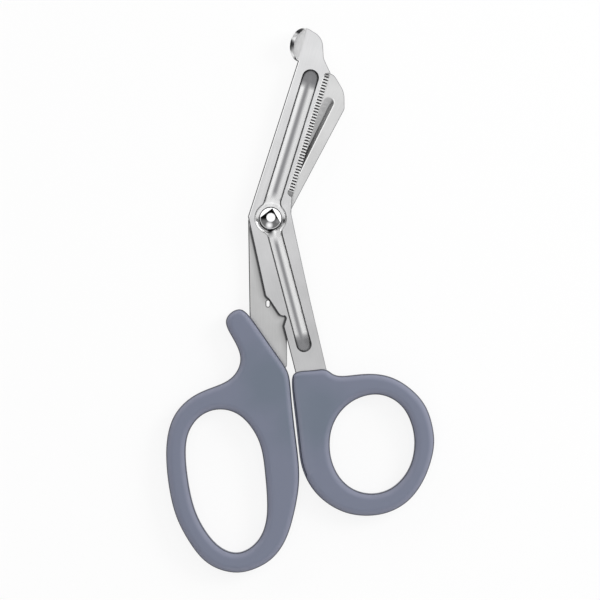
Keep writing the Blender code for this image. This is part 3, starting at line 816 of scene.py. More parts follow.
def markBladeFinishAndPaintedLight(mesh, blade):
    # per corner, so that each mark ends where its face does: red is burnished by the press, green a dull grey
    # (painted shade in the valleys and on the trough's flanks, and the own grey of the sheared walls and
    # right edges), blue a dark line of painted shade, and alpha a painted highlight
    sheet, marks = bladeSheet, bladeMarks
    co = readNumbers(mesh.vertices, "co", 3).astype(float) / mm
    middle = readNumbers(mesh.polygons, "center", 3).astype(float) / mm
    normal = readNumbers(mesh.polygons, "normal", 3)
    vertexOf = readNumbers(mesh.loops, "vertex_index", kind=np.int32)
    sizes = readNumbers(mesh.polygons, "loop_total", kind=np.int32)
    faceCount = len(middle)
    faceOf = np.repeat(np.arange(faceCount), sizes)

    # soft marks, by vertex
    flat, height = co[:, :2], (co[:, 2] - sheet["meetingHeight"]) * blade["side"]
    radius = np.linalg.norm(flat, axis=1)
    outerFace = height > sheet["faceLift"] * 0.9 + 0.4
    polish, valley, shade, paintedHighlight = (np.zeros(len(co)) for k in range(4))
    grooves = zip(blade["grooves"], blade["grooveWidths"], marks["valleys"])
    # painted shade as a dark reflection down each valley and over its end, and a painted highlight on one
    # flank
    for (start, end), width, (half, shift, flank) in grooves:
        distance = lineDistance(flat, start, end)[0]
        axis = (np.array(end) - np.array(start)) / math.dist(start, end)
        past = (flat - np.array(end)) @ axis
        aside = (flat - np.array(end)) @ np.array((abs(axis[1]), -axis[0] * np.sign(axis[1])))
        inGroove = (distance < width / 2 + 0.01) * outerFace
        centre = smoothStep(half, 0.15, np.abs(aside - shift)) * smoothStep(*marks["valleyFade"], radius)
        centre = centre * inGroove
        cap = smoothStep(-marks["capLength"], 1.8 - marks["capLength"], past) * inGroove
        polish = np.maximum(polish, marks["grooveBurnish"] * inGroove)
        valley = np.maximum(valley, np.maximum(centre, cap))
        shade = np.maximum(shade, marks["capShade"] * cap)
        onFlank = smoothStep(*marks["flankEdge"], (aside - shift) * np.sign(flank))
        flankHighlight = abs(flank) * onFlank * (1 - cap) * inGroove
        paintedHighlight = np.maximum(paintedHighlight, flankHighlight * smoothStep(*marks["flankFade"], radius))
    nearSide = smoothStep(1.5, -1.5, flat[:, 1])
    inDish = smoothStep(sheet["dishDiameter"] / 2 + 0.3, sheet["dishDiameter"] / 2 - 0.3, radius) * outerFace
    polished = smoothStep(*marks["polishFade"], radius)
    polish = (polish * (1 - polished) + 0.9 * nearSide * polished) * outerFace
    paintedHighlight = np.maximum(paintedHighlight, marks["dishHighlight"] * (1 - nearSide) * inDish)
    turn = np.degrees(np.arctan2(flat[:, 1], flat[:, 0])) % 360
    pressed = pressInset(flat, blade) > 0.02
    # painted highlight arcs on the dish, where the polish is reduced too
    for low, high, depth, kept in marks["dishHighlightArcs"]:
        highlightSpan = smoothStep(low - 12, low + 8, turn) * smoothStep(high + 12, high - 8, turn)
        polish = polish * (1 - (1 - kept) * highlightSpan * smoothStep(*marks["arcPolishFade"], radius))
        arc = highlightSpan * smoothStep(*marks["arcFade"], radius)
        paintedHighlight = np.maximum(paintedHighlight, depth * arc * outerFace * pressed)
    if blade is frontBlade:
        # painted shade in the corner below the screw head, which also takes away the painted highlight there
        shadeWedge = smoothStep(marks["wedgeHalf"], 0.2, np.abs(flat[:, 0] + 0.1)) * (flat[:, 1] < 0)
        shadeWedge = shadeWedge * smoothStep(marks["wedgeEnd"], 4.6, radius) * outerFace
        shade = np.maximum(shade, 0.95 * shadeWedge)
        paintedHighlight = paintedHighlight * (1 - shadeWedge)
    else:
        # painted shadow of the front tang's left edge on the rear tang: a dark line and a wider grey
        line = castShadowLine(0.0)
        away = edgeDistance(flat, list(zip(line, line[1:])))
        shade = marks["castShadowDark"] * smoothStep(0.85, 0.2, away) + marks["castShadowGrey"] * smoothStep(2.6, 0.6, away)
        shade = shade * (height < sheet["faceLift"] + 0.3)

    # marks with a crisp border, by face
    flatMiddle = middle[:, :2]
    heel, along, across, length = edgeFrame(blade)
    level = (middle[:, 2] - sheet["meetingHeight"]) * blade["side"]
    outward = normal[:, 2] * blade["side"]
    shown = outward if blade is frontBlade else -outward
    place, inset = (flatMiddle - heel) @ along, (flatMiddle - heel) @ across
    onStrip = (inset < grindReach(place, length) + 0.05) & (place > -0.5) & (place < length + 1.0)
    onStrip = onStrip & (level > 0.2)
    dark, bright, dull = (np.zeros(faceCount) for k in range(3))
    notched = np.zeros(faceCount, bool)
    if blade is frontBlade:
        reach = serration["Notch Length"] * math.cos(stripSlope(length))
        step = (place - serration["First Notch"]) / serration["Notch Pitch"]
        number = np.clip(np.round(step), 0, serration["Notch Count"] - 1)
        aside = (step - number) * serration["Notch Pitch"] / serration["Notch Half Width"]
        strip = sheet["faceLift"] + sheet["thickness"] - groundDrop(place, inset, length)
        inside = (inset < reach + 0.3) & (level < strip - 0.02)
        notched = inside & (np.abs(aside) < 0.995) & (outward > -0.5) & (level > 0.16) & (inset > -0.4)
        # painted shade in the notches
        dark = np.where(notched, marks["notchDark"], dark)
    # painted highlight on the ground strip, with painted shade at its heel
    onGrind = onStrip & ~notched & (outward > 0.3) & (outward < 0.97)
    bright = np.where(onGrind, marks["landBright"], bright)
    dark = np.where(onGrind & (place < serration["First Notch"] - 0.4), marks["heelDark"], dark)
    # painted shade along the lips, darker on the left side of the tang groove
    lip = pressInset(flatMiddle, blade)
    away = smoothStep(*marks["lipFade"], np.linalg.norm(flatMiddle, axis=1))
    onLip = (lip > 0) & (lip < sheet["lipWidth"] * (0.5 + 0.5 * away)) & (outward > 0.2)
    rightSide = flatMiddle @ np.array((0.967, 0.256)) > 0
    tangLip = np.where(rightSide, marks["tangLipDark"][1], marks["tangLipDark"][0])
    lipDark = np.where(flatMiddle[:, 1] > 0, marks["lipDark"], tangLip)
    dark = np.where(onLip, marks["dishLipDark"] + (lipDark - marks["dishLipDark"]) * away, dark)
    # painted shade on the trough's flanks and along its valley, and a painted highlight on its right rim
    for start, end in blade["troughs"]:
        share = troughShare(flatMiddle, start, end)
        low, high, right = troughValley(start, end)
        rightHand = (flatMiddle - np.array(low)) @ np.array(right) > 0
        rim = lineDistance(flatMiddle, start, end)[0] - sheet["troughWidth"] / 2
        dull = np.where((share > 0) & rightHand, marks["troughRight"], dull)
        dull = np.where((share > 0) & ~rightHand, marks["troughLeft"] * smoothStep(0, 0.6, share), dull)
        bright = np.where(rightHand & (rim > 0) & (rim < 0.3) & (shown > 0.3), 0.8, bright)
        nearValley = lineDistance(flatMiddle, low, high)[0] < 0.2
        dark = np.where(nearValley & (shown > 0.3), 0.5, dark)
    # painted shade along the edges that face left, with a painted highlight just inside them
    left, right = (edgeDistance(flatMiddle, sideEdges(blade, facing)) for facing in (-1, 1))
    above = shown > 0.3
    dark = np.where(above & (left < sheet["edgeBreak"] * 1.8), marks["sideDark"], dark)
    brightSide = above & (left > sheet["edgeBreak"] * 1.8) & (left < sheet["edgeBreak"] * 3.4)
    bright = np.where(brightSide & (flatMiddle[:, 1] > -4), marks["sideBright"], bright)
    dull = np.where(above & (right < sheet["edgeBreak"]), 0.9, dull)
    onWall = (np.abs(outward) < 0.25) & (np.minimum(left, right) < 0.1)
    dull = np.where(onWall, marks["sheared"], dull)
    # painted shade round the slot
    if "slotTop" in blade:
        slot = lineDistance(flatMiddle, blade["slotBottom"], blade["slotTop"])[0] - blade["slotWidth"] / 2
        dark = np.where(slot < sheet["edgeBreak"] * 1.9, marks["slotDark"], dark)
    bladeColour = np.column_stack([
        np.where(onGrind[faceOf], marks["landPolish"], polish[vertexOf]),
        np.maximum(valley[vertexOf], dull[faceOf]),
        np.maximum(dark[faceOf], shade[vertexOf]),
        np.maximum(bright[faceOf], paintedHighlight[vertexOf])])
    if blade is frontBlade:
        markFoot(bladeColour, co, middle, vertexOf, faceOf)
    layer = mesh.attributes.new("finish", "FLOAT_COLOR", "CORNER")
    layer.data.foreach_set("color", bladeColour.astype(np.float32).ravel())
    markFlow(mesh, co, blade, vertexOf)


def markFoot(colour, co, middle, vertexOf, faceOf):
    # the curl is coarser than the flats and has a painted highlight; its rim has a painted highlight with
    # soft painted dark reflections
    marks, steps = bladeMarks, foot["foldSteps"] * 2
    rim = []
    for k in range(1, steps):
        upper, lower = footSkins(math.pi * k / steps, 1.0)
        rim.append((upper + lower) / 2)
    rim = np.array([tuple(p) for p in rim])
    rim[:, 2] += bladeSheet["meetingHeight"]
    near = np.linalg.norm(middle[:, None, :] - rim[None, :, :], axis=2).min(axis=1)
    onRim = (near < bladeSheet["thickness"] * marks["rimShare"])[faceOf]
    top, bottom = np.array(foot["foldTop"]), np.array(foot["foldBottom"])
    away = np.array(((bottom - top)[1], (top - bottom)[0])) / np.linalg.norm(bottom - top)
    bent = (smoothStep(-0.3, 0.8, (co[:, :2] - top) @ away) * (co[:, 1] > bottom[1]))[vertexOf]
    colour[:, 0] = np.where(onRim, 0.0, colour[:, 0] + marks["footRough"] * bent)
    colour[:, 3] = np.where(onRim, marks["rimBright"], np.maximum(colour[:, 3], marks["footBright"] * bent))
    for x, y, reach in marks["rimMarks"]:
        soft = smoothStep(reach, reach * 0.5, np.hypot(co[:, 0] - x, co[:, 1] - y))[vertexOf]
        colour[:, 2] = np.where(onRim, np.maximum(colour[:, 2], soft), colour[:, 2])


def markFlow(mesh, co, blade, vertexOf):
    # a UV map in millimetres, along and across the bent blade, for the grinding lines
    upLine = blade["grooves"][0] if blade is frontBlade else blade["troughs"][0]
    upAxis, downAxis = np.array(upLine[1], float), -np.array(blade["grooves"][-1][1], float)
    upAxis, downAxis = upAxis / np.linalg.norm(upAxis), downAxis / np.linalg.norm(downAxis)
    flat = co[:, :2]
    upper = (flat @ (upAxis + downAxis)) > 0
    along = np.where(upper, flat @ upAxis, flat @ downAxis)
    upSide, downSide = (np.array((axis[1], -axis[0])) for axis in (upAxis, downAxis))
    across = np.where(upper, flat @ upSide, flat @ downSide)
    uv = np.column_stack([across, along + co[:, 2]])[vertexOf]
    layer = mesh.uv_layers.new(name="flow")
    layer.data.foreach_set("uv", uv.astype(np.float32).ravel())


def finishPiece(item, body, node, sharpAngle=24):
    # smooth shading that keeps flats flat, then the piece takes its node's place
    mesh = item.data
    mesh.shade_smooth()
    mesh.set_sharp_from_angle(angle=math.radians(sharpAngle))
    weigh = item.modifiers.new("evenFlats", "WEIGHTED_NORMAL")
    weigh.mode = "FACE_AREA"
    weigh.weight = 60
    weigh.keep_sharp = True
    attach(item, body)
    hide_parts(node)
    print("piece ready:", item.name, len(mesh.polygons), "faces")


def newItem(name, mesh):
    item = bpy.data.objects.new(name, mesh)
    bpy.context.scene.collection.objects.link(item)
    return item


# handles: polypropylene moulded over the tangs, flat faces with a rolled edge all round

handles = {
    "thickness": 8.4,
    "rollHeight": 1.9,
    "outerRoll": 2.4,
    "loopRoll": 2.5,
    "creaseShare": 0.05,      # how much of the roll is one straight slope, so its inner line reads
    "rollSteps": 14,
    "outlineStep": 0.7,
    "closeShade": 0.2,        # how much wider the painted shade line is where the handles lie together, as a painted shadow between them
}

fingerHandle = {
    "outline": [
        (-10.8, -31.7), (-8.3, -33.1), (-2.1, -41.4), (2.5, -48.0), (5.4, -52.4), (6.5, -55.4), (7.25, -62.3),
        (8.25, -72.1), (9.2, -79.9), (9.9, -87.1), (9.7, -94.4), (8.1, -103.1), (5.3, -111.8), (0.5, -118.5),
        (-5.8, -122.2), (-11.7, -123.4), (-18.0, -122.2), (-23.6, -118.7), (-28.7, -112.1), (-32.8, -104.0),
        (-35.2, -94.7), (-36.3, -85.0), (-36.1, -77.3), (-34.4, -70.5), (-31.1, -65.4), (-26.0, -61.4),
        (-20.0, -58.8), (-15.1, -56.6), (-12.0, -53.6), (-10.6, -49.9), (-11.0, -46.4), (-12.9, -42.3),
        (-15.0, -38.4), (-15.5, -35.4), (-13.6, -32.7)],
    "hole": [
        (-17.5, -66.6), (-11.4, -68.3), (-6.7, -72.9), (-3.5, -79.4), (-2.0, -88.4), (-1.3, -97.2),
        (-1.5, -104.5), (-3.5, -110.8), (-7.6, -115.1), (-12.4, -116.5), (-17.6, -114.5), (-22.5, -109.2),
        (-26.4, -101.5), (-28.7, -91.6), (-29.6, -81.8), (-28.4, -74.3), (-23.9, -68.6)],
}

thumbHandle = {
    # x, y and y: left of this and between these it lies against the other handle
    "closeSide": (12.0, -95.0, -55.5),
    "outline": [
        (10.2, -53.3), (14.8, -52.9), (19.1, -52.7), (21.3, -54.0), (24.0, -54.9), (30.8, -54.4),
        (37.8, -54.4), (43.7, -56.1), (49.6, -60.1), (54.2, -65.9), (56.5, -73.0), (56.95, -78.7),
        (55.7, -85.1), (52.8, -92.1), (47.9, -98.4), (41.3, -102.3), (33.8, -103.6), (26.1, -102.5),
        (19.0, -98.7), (13.9, -93.2), (10.9, -86.6), (9.8, -80.2), (8.85, -71.6), (7.8, -62.6),
        (7.4, -57.0), (8.0, -54.4)],
    "hole": [
        (37.1, -61.4), (42.5, -63.0), (46.7, -66.8), (49.3, -72.5), (50.1, -78.3), (49.1, -84.8),
        (46.0, -90.5), (41.1, -94.5), (35.0, -95.9), (28.7, -94.3), (24.0, -90.1), (21.3, -84.3),
        (20.6, -78.0), (21.8, -71.9), (25.4, -66.3), (30.8, -62.6)],
}


def rollProfile(width):
    # (inset, height, place across the roll) up the wall, from the lower flat face to the upper one
    steps = handles["rollSteps"]
    lower = []
    for k in range(steps + 1):
        t = math.sin(math.pi / 2 * k / steps)
        drop = handles["creaseShare"] * t
        drop += (1 - handles["creaseShare"]) * (1 - math.sqrt(max(0.0, 1 - t * t)))
        lower.append((width * (1 - t), handles["rollHeight"] * drop, t))
    return lower + [(inset, handles["thickness"] - height, t) for inset, height, t in reversed(lower)]


def rollShares(points, width, side):
    # the roll narrows where the outline turns more tightly than the roll is wide
    turnSide = 1 if signedArea(points) > 0 else -1
    limits = []
    for index, here in enumerate(points):
        back = here - points[index - 1]
        ahead = points[(index + 1) % len(points)] - here
        turn = back.angle_signed(ahead) * turnSide * side
        radius = (back.length + ahead.length) / 2 / max(turn, 1e-6)
        limits.append(min(1.0, 0.85 * radius / width))
    count = len(limits)
    reach = range(-8, 9)
    near = [min(limits[(k + step) % count] for step in reach) for k in range(count)]
    return [sum(near[(k + step) % count] for step in reach) / len(reach) for k in range(count)]


def handleMesh(name, handle):
    points, faces, rollPlace, rims = [], [], [], []
    loops = ((handle["outline"], handles["outerRoll"], -1), (handle["hole"], handles["loopRoll"], 1))
    x, low, high = handle.get("closeSide", (0.0, 0.0, 0.0))
    for knots, width, side in loops:
        loop = smoothLoop(knots, handles["outlineStep"])
        shares = rollShares(loop, width, side)
        rings = []
        # painted shadow: the dark outline reaches further in where the handles lie together
        close = [handles["closeShade"] if side < 0 and p.x < x and low < p.y < high else 0.0 for p in loop]
        for inset, height, place in rollProfile(width):
            ring = offsetLoop(loop, [side * inset * share for share in shares])
            rings.append(range(len(points), len(points) + len(ring)))
            points += [(p.x, p.y, height) for p in ring]
            rollPlace += [place + extra for extra in close]
        outward = (side < 0) == (signedArea(loop) > 0)
        for lower, upper in zip(rings, rings[1:]):
            for k in range(len(lower)):
                n = (k + 1) % len(lower)
                face = (lower[k], lower[n], upper[n], upper[k])
                faces.append(face if outward else face[::-1])
        rims.append((rings[0], rings[-1]))
    for level, up in ((0, False), (1, True)):
        flatLoops = [[Vector(points[k][:2]) for k in rim[level]] for rim in rims]
        flat, found = triangulateSheet(flatLoops[0], [flatLoops[1]], [])
        ids = [k for rim in rims for k in rim[level]]
        nearest = {(round(points[k][0], 3), round(points[k][1], 3)): k for k in ids}
        places = [nearest[(round(x, 3), round(y, 3))] for x, y in flat]
        for face in found:
            ring = [places[k] for k in face]
            a, b, c = (Vector(points[k][:2]) for k in ring)
            anticlockwise = (b - a).cross(c - a) > 0
            faces.append(tuple(ring if anticlockwise == up else ring[::-1]))
    mesh = meshOf(name, points, faces)
    layer = mesh.attributes.new("rollPlace", "FLOAT", "POINT")
    layer.data.foreach_set("value", np.array(rollPlace, np.float32))
    return mesh


# pivot: a domed screw head over the dish, and a chamfered nut at the back

pivot = {
    "shankDiameter": 4.0,
    "headDiameter": 8.0,
    "headRim": 0.45,
    "rimRound": 0.16,
    "domeHeight": 1.65,
    "headSeat": 5.55,
    "endChamfer": 0.3,
    "turnSteps": 96,
    "domeSteps": 22,
    "nutAcrossFlats": 7.0,
    "nutLow": 0.4,
    "nutHigh": 2.85,
    "nutBore": 4.6,
    "nutChamfer": 0.35,
    "nutFaceInset": 0.15,
    "boreChamfer": 0.25,
}


def screwProfile():
    # radius and height pairs from the flat end up over the dome
    shank, rim = pivot["shankDiameter"] / 2, pivot["headDiameter"] / 2
    seat, roundness = pivot["headSeat"], pivot["rimRound"]
    profile = [(0, 0), (shank - pivot["endChamfer"], 0), (shank, pivot["endChamfer"]), (shank, seat)]
    for k in range(5):
        angle = math.pi / 2 * k / 4
        profile.append((rim - roundness * (1 - math.sin(angle)), seat + roundness * (1 - math.cos(angle))))
    sphere = (rim**2 + pivot["domeHeight"] ** 2) / (2 * pivot["domeHeight"])
    spread = math.asin(rim / sphere)
    base = seat + pivot["headRim"]
    for k in range(pivot["domeSteps"]):
        angle = spread * (1 - k / pivot["domeSteps"])
        profile.append((sphere * math.sin(angle), base + sphere * (math.cos(angle) - math.cos(spread))))
    return profile + [(0, base + pivot["domeHeight"])]


def turnedMesh(name, profile, steps):
    points, faces, rings = [], [], []
    for radius, height in profile:
        ring = [(0, 0, height)] if radius == 0 else [(*p, height) for p in ringOf((0, 0), radius, steps)]
        rings.append(range(len(points), len(points) + len(ring)))
        points += ring
    for low, high in zip(rings, rings[1:]):
        for k in range(steps):
            n = (k + 1) % steps
            face = (low[k % len(low)], low[n % len(low)], high[n % len(high)], high[k % len(high)])
            faces.append(tuple(dict.fromkeys(face)))
    return meshOf(name, points, faces)


def nutMesh(name):
    # rings of a six-sided outline, its corners cut back by the turned chamfer
    flat = pivot["nutAcrossFlats"] / 2
    low, high, chamfer = pivot["nutLow"], pivot["nutHigh"], pivot["nutChamfer"]
    corner = flat / math.cos(math.pi / 6)
    steps, bevel = pivot["turnSteps"], pivot["boreChamfer"]
    faceRadius = flat - pivot["nutFaceInset"]
    slope = chamfer / (corner - faceRadius)
    angles = [2 * math.pi * k / steps for k in range(steps)]
    hexagon = [flat / math.cos((a + math.pi / 6) % (math.pi / 3) - math.pi / 6) for a in angles]
    bore = pivot["nutBore"] / 2
    rows = [[(bore, low + bevel)] * steps, [(bore + bevel, low)] * steps, [(faceRadius, low)] * steps]
    rows.append([(r, low + (r - faceRadius) * slope) for r in hexagon])
    rows.append([(r, high - (r - faceRadius) * slope) for r in hexagon])
    rows += [[(faceRadius, high)] * steps, [(bore + bevel, high)] * steps, [(bore, high - bevel)] * steps]
    points = [(r * math.cos(a), r * math.sin(a), z) for row in rows for a, (r, z) in zip(angles, row)]
    faces = []
    for k in range(len(rows)):
        here, there = k * steps, (k + 1) % len(rows) * steps
        for s in range(steps):
            n = (s + 1) % steps
            faces.append((here + s, here + n, there + n, there + s))
    return meshOf(name, points, faces)


# materials

bladeFinish = {
    "flatColour": "#dcdcdd",
    "streakColour": "#d1d1d2",
    "tangShade": 0.72,         # linear share left at the tang: painted shade, darker toward the tang
    "toneStart": -35.0,       # mm along the blade
    "toneEnd": 55.0,
    # valley grey: painted shade in the valleys and on the trough's flanks, also the own grey of the sheared
    # walls
    "valleyColour": "#848486",
    "polishedColour": "#dadada",
    # colours of the painted highlights and of the painted dark shade lines
    "highlightColour": "#fbfbfb",
    "shadeLineColour": "#2e2e30",
    "flatRoughness": 0.34,
    "polishedRoughness": 0.12,
    "roughnessSpread": 0.1,
    "lineSpacing": 0.4,       # mm; belt lines are nearer 0.05, drawn wider so that they show
    "lineLength": 9.0,
    "lineDepth": 0.02,
    "lineStrength": 0.12,
    "lineShare": 0.6,
    "cloudSize": 14.0,
    "streakRange": (0.55, 0.95),
}


def groundSteel(name, finish):
    # belt-ground stainless steel, pressed and tumbled: an even pale satin with faint lines along the blade,
    # brighter where the press has burnished it;
    # painted shade makes it darker toward the tang, grey in the valleys and dark along lines, and painted
    # highlights make it bright in places
    material, tree, shader = startMaterial(name)
    flow = addNode(tree, "ShaderNodeUVMap", {"uv_map": "flow"})
    lines = addNode(tree, "ShaderNodeMapping", inputs={
        "Vector": flow, "Scale": (1 / finish["lineSpacing"], 1 / finish["lineLength"], 1.0)})
    grain = addNode(tree, "ShaderNodeTexNoise", inputs={
        "Vector": lines, "Scale": 1.0, "Detail": 4.0, "Roughness": 0.6})
    clouds = addNode(tree, "ShaderNodeTexNoise", inputs={
        "Vector": flow, "Scale": 1 / finish["cloudSize"], "Detail": 2.0})
    mixed = addNode(tree, "ShaderNodeMath", {"operation": "MULTIPLY_ADD"}, {
        0: grain, 1: finish["lineShare"], 2: clouds})
    streaks = addNode(tree, "ShaderNodeMapRange", inputs={
        "Value": mixed, "From Min": finish["streakRange"][0], "From Max": finish["streakRange"][1]})
    base = addNode(tree, "ShaderNodeMix", {"data_type": "RGBA"}, {
        "Factor": streaks, "A": linearColour(finish["streakColour"]),
        "B": linearColour(finish["flatColour"])})
    # painted shade: the colour darkens toward the tang
    alongBlade = addNode(tree, "ShaderNodeSeparateXYZ", inputs={"Vector": flow})
    tone = addNode(tree, "ShaderNodeMapRange", inputs={
        "Value": alongBlade.outputs["Y"], "From Min": finish["toneStart"], "From Max": finish["toneEnd"],
        "To Min": finish["tangShade"], "To Max": 1.0})
    colour = addNode(tree, "ShaderNodeVectorMath", {"operation": "SCALE"}, {
        0: base, "Scale": tone})
    marks = addNode(tree, "ShaderNodeAttribute", {"attribute_name": "finish"})
    parts = addNode(tree, "ShaderNodeSeparateColor", inputs={"Color": marks.outputs["Color"]})
    layers = ((parts.outputs["Red"], "polishedColour"), (parts.outputs["Green"], "valleyColour"),
              (marks.outputs["Alpha"], "highlightColour"), (parts.outputs["Blue"], "shadeLineColour"))
    for cover, key in layers:
        colour = addNode(tree, "ShaderNodeMix", {"data_type": "RGBA"}, {
            "Factor": cover, "A": colour, "B": linearColour(finish[key])})
    tree.links.new(colour.outputs["Result"], shader.inputs["Base Color"])
    spread = addNode(tree, "ShaderNodeMath", {"operation": "MULTIPLY_ADD"}, {
        0: parts.outputs["Red"], 1: finish["polishedRoughness"] - finish["flatRoughness"],
        2: finish["flatRoughness"]})
    uneven = addNode(tree, "ShaderNodeMath", {"operation": "MULTIPLY_ADD"}, {
        0: grain, 1: finish["roughnessSpread"], 2: spread})
    tree.links.new(uneven.outputs[0], shader.inputs["Roughness"])
    bump = addNode(tree, "ShaderNodeBump", inputs={
        "Height": grain, "Strength": finish["lineStrength"], "Distance": finish["lineDepth"] * mm})
    tree.links.new(bump.outputs[0], shader.inputs["Normal"])
    shader.inputs["Metallic"].default_value = 1.0
    return material


pivotFinish = {
    "colour": "#e9e9ea",
    "roughness": 0.06,
    "nutColour": "#c9c9c8",
    "nutRoughness": 0.25,
    "cloudSize": 1.5,         # mm
    "cloudShade": 0.94,
}


def polishedSteel(name, colour, roughness):
    # plated steel, barrel polished: bright, with a very slight unevenness
    material, tree, shader = startMaterial(name)
    place = addNode(tree, "ShaderNodeTexCoord")
    cloud = addNode(tree, "ShaderNodeTexNoise", inputs={
        "Vector": place.outputs["Object"], "Scale": 1 / (pivotFinish["cloudSize"] * mm), "Detail": 3.0})
    share = addNode(tree, "ShaderNodeMapRange", inputs={
        "Value": cloud, "From Min": 0.3, "From Max": 0.7})
    pale = linearColour(colour)
    shaded = tuple(pivotFinish["cloudShade"] * v for v in pale[:3]) + (1.0,)
    tone = addNode(tree, "ShaderNodeMix", {"data_type": "RGBA"}, {
        "Factor": share, "A": shaded, "B": pale})
    tree.links.new(tone.outputs["Result"], shader.inputs["Base Color"])
    spread = addNode(tree, "ShaderNodeMapRange", inputs={
        "Value": cloud, "To Min": roughness * 0.8, "To Max": roughness * 1.3})
    tree.links.new(spread.outputs["Result"], shader.inputs["Roughness"])
    shader.inputs["Metallic"].default_value = 1.0
    return material


plasticFinish = {
    "colour": "#767c8f",
    "tangColour": "#6c7686",
    "rollHighlightColour": "#9294a6",  # painted highlight: the rolled edges are drawn paler
    "rollHighlightShare": 0.55,
    "rollHighlightRange": (0.05, 0.6),     # across the roll, from 0 at the flat face to 1 at the wall
    # painted shade: a dark line round each handle's outline
    "outlineShadeColour": "#2c303c",
    "outlineShadeRange": (0.8, 0.92),
    "wallShare": 0.25,        # how much of that dark colour is left on the upright wall
    "roughness": 0.46,
    "roughnessSpread": 0.06,
    "grainSize": 0.35,        # mm; the mould's spark texture is nearer 0.08, drawn coarser so that it shows
    "grainDepth": 0.03,
    "grainStrength": 0.25,
    "mottleSize": 14.0,
    "tangEnds": [(1.0, -56.0, 4.2), (14.0, -70.0, 4.2)],
    "tangReach": (13.0, 26.0),
    "tangPatches": 14.0,      # mm; how far the mottle pushes that border about
}


def mouldedPlastic(name, finish):
    # injection-moulded polypropylene: soft, slightly waxy sheen over a fine spark texture, with a painted
    # highlight that makes its rolled edges paler, darker and greener over the ends of the tangs, and painted
    # shade as a dark line round its outline, widened into a painted shadow where the handles lie together
    material, tree, shader = startMaterial(name)
    place = addNode(tree, "ShaderNodeTexCoord").outputs["Object"]
    mottle = addNode(tree, "ShaderNodeTexNoise", inputs={
        "Vector": place, "Scale": 1 / (finish["mottleSize"] * mm), "Detail": 2.0})
    reach = 1.0
    for end in finish["tangEnds"]:
        away = addNode(tree, "ShaderNodeVectorMath", {"operation": "DISTANCE"}, {
            0: place, 1: tuple(v * mm for v in end)})
        reach = addNode(tree, "ShaderNodeMath", {"operation": "MINIMUM"}, {
            0: away, 1: reach})
    patchy = addNode(tree, "ShaderNodeMath", {"operation": "MULTIPLY_ADD"}, {
        0: mottle, 1: finish["tangPatches"] * mm, 2: reach})
    near, far = finish["tangReach"]
    overTang = addNode(tree, "ShaderNodeMapRange", {"interpolation_type": "SMOOTHSTEP"}, {
        "Value": patchy, "From Min": near * mm, "From Max": far * mm})
    roll = addNode(tree, "ShaderNodeAttribute", {"attribute_name": "rollPlace"})
    # painted highlight on the rolled edges
    rollHighlight = addNode(tree, "ShaderNodeMapRange", {"interpolation_type": "SMOOTHSTEP"}, {
        "Value": roll.outputs["Fac"], "From Min": finish["rollHighlightRange"][0], "From Max": finish["rollHighlightRange"][1],
        "To Max": finish["rollHighlightShare"]})
    # painted shade along the outline, less of it on the upright wall
    outlineShade = addNode(tree, "ShaderNodeMapRange", inputs={
        "Value": roll.outputs["Fac"], "From Min": finish["outlineShadeRange"][0],
        "From Max": finish["outlineShadeRange"][1]})
    wall = addNode(tree, "ShaderNodeMapRange", inputs={
        "Value": roll.outputs["Fac"], "From Min": 0.98, "From Max": 1.0,
        "To Min": 1.0, "To Max": finish["wallShare"]})
    outlineShadeCover = addNode(tree, "ShaderNodeMath", {"operation": "MULTIPLY"}, {
        0: outlineShade, 1: wall})
    colour = linearColour(finish["tangColour"])
    layers = ((overTang, "colour"), (rollHighlight, "rollHighlightColour"),
              (outlineShadeCover, "outlineShadeColour"))
    for cover, key in layers:
        colour = addNode(tree, "ShaderNodeMix", {"data_type": "RGBA"}, {
            "Factor": cover, "A": colour, "B": linearColour(finish[key])})
    tree.links.new(colour.outputs["Result"], shader.inputs["Base Color"])
    grain = addNode(tree, "ShaderNodeTexNoise", inputs={
        "Vector": place, "Scale": 1 / (finish["grainSize"] * mm), "Detail": 3.0})
    spread = addNode(tree, "ShaderNodeMapRange", inputs={
        "Value": grain, "To Min": finish["roughness"] - finish["roughnessSpread"],
        "To Max": finish["roughness"] + finish["roughnessSpread"]})
    tree.links.new(spread.outputs["Result"], shader.inputs["Roughness"])
    bump = addNode(tree, "ShaderNodeBump", inputs={
        "Height": grain, "Strength": finish["grainStrength"], "Distance": finish["grainDepth"] * mm})
    tree.links.new(bump.outputs[0], shader.inputs["Normal"])
    shader.inputs["IOR"].default_value = 1.49
    return material


# the pieces

frontSteel = groundSteel("beltGroundSteelFront", bladeFinish)
# painted shade: the rear blade is the same steel drawn a little darker
rearShadedFinish = dict(bladeFinish, flatColour="#d7d7d7", streakColour="#cacaca", tangShade=0.76)
rearShadedSteel = groundSteel("beltGroundSteelRearShaded", rearShadedFinish)
screwSteel = polishedSteel("polishedNickelPlate", pivotFinish["colour"], pivotFinish["roughness"])
nutSteel = polishedSteel("zincPlatedNut", pivotFinish["nutColour"], pivotFinish["nutRoughness"])
plastic = mouldedPlastic("mouldedPolypropylene", plasticFinish)

for name, blade, steel, body, node in (
        ("frontBladePressed", frontBlade, frontSteel, "front_half", "front_blade"),
        ("rearBladePressed", rearBlade, rearShadedSteel, "rear_half", "rear_blade")):
    item = newItem(name, bladeMesh(name, blade))
    if blade is frontBlade:
        cutSerration(item, steel)
    else:
        item.data.materials.append(steel)
    markBladeFinishAndPaintedLight(item.data, blade)
    finishPiece(item, body, node)

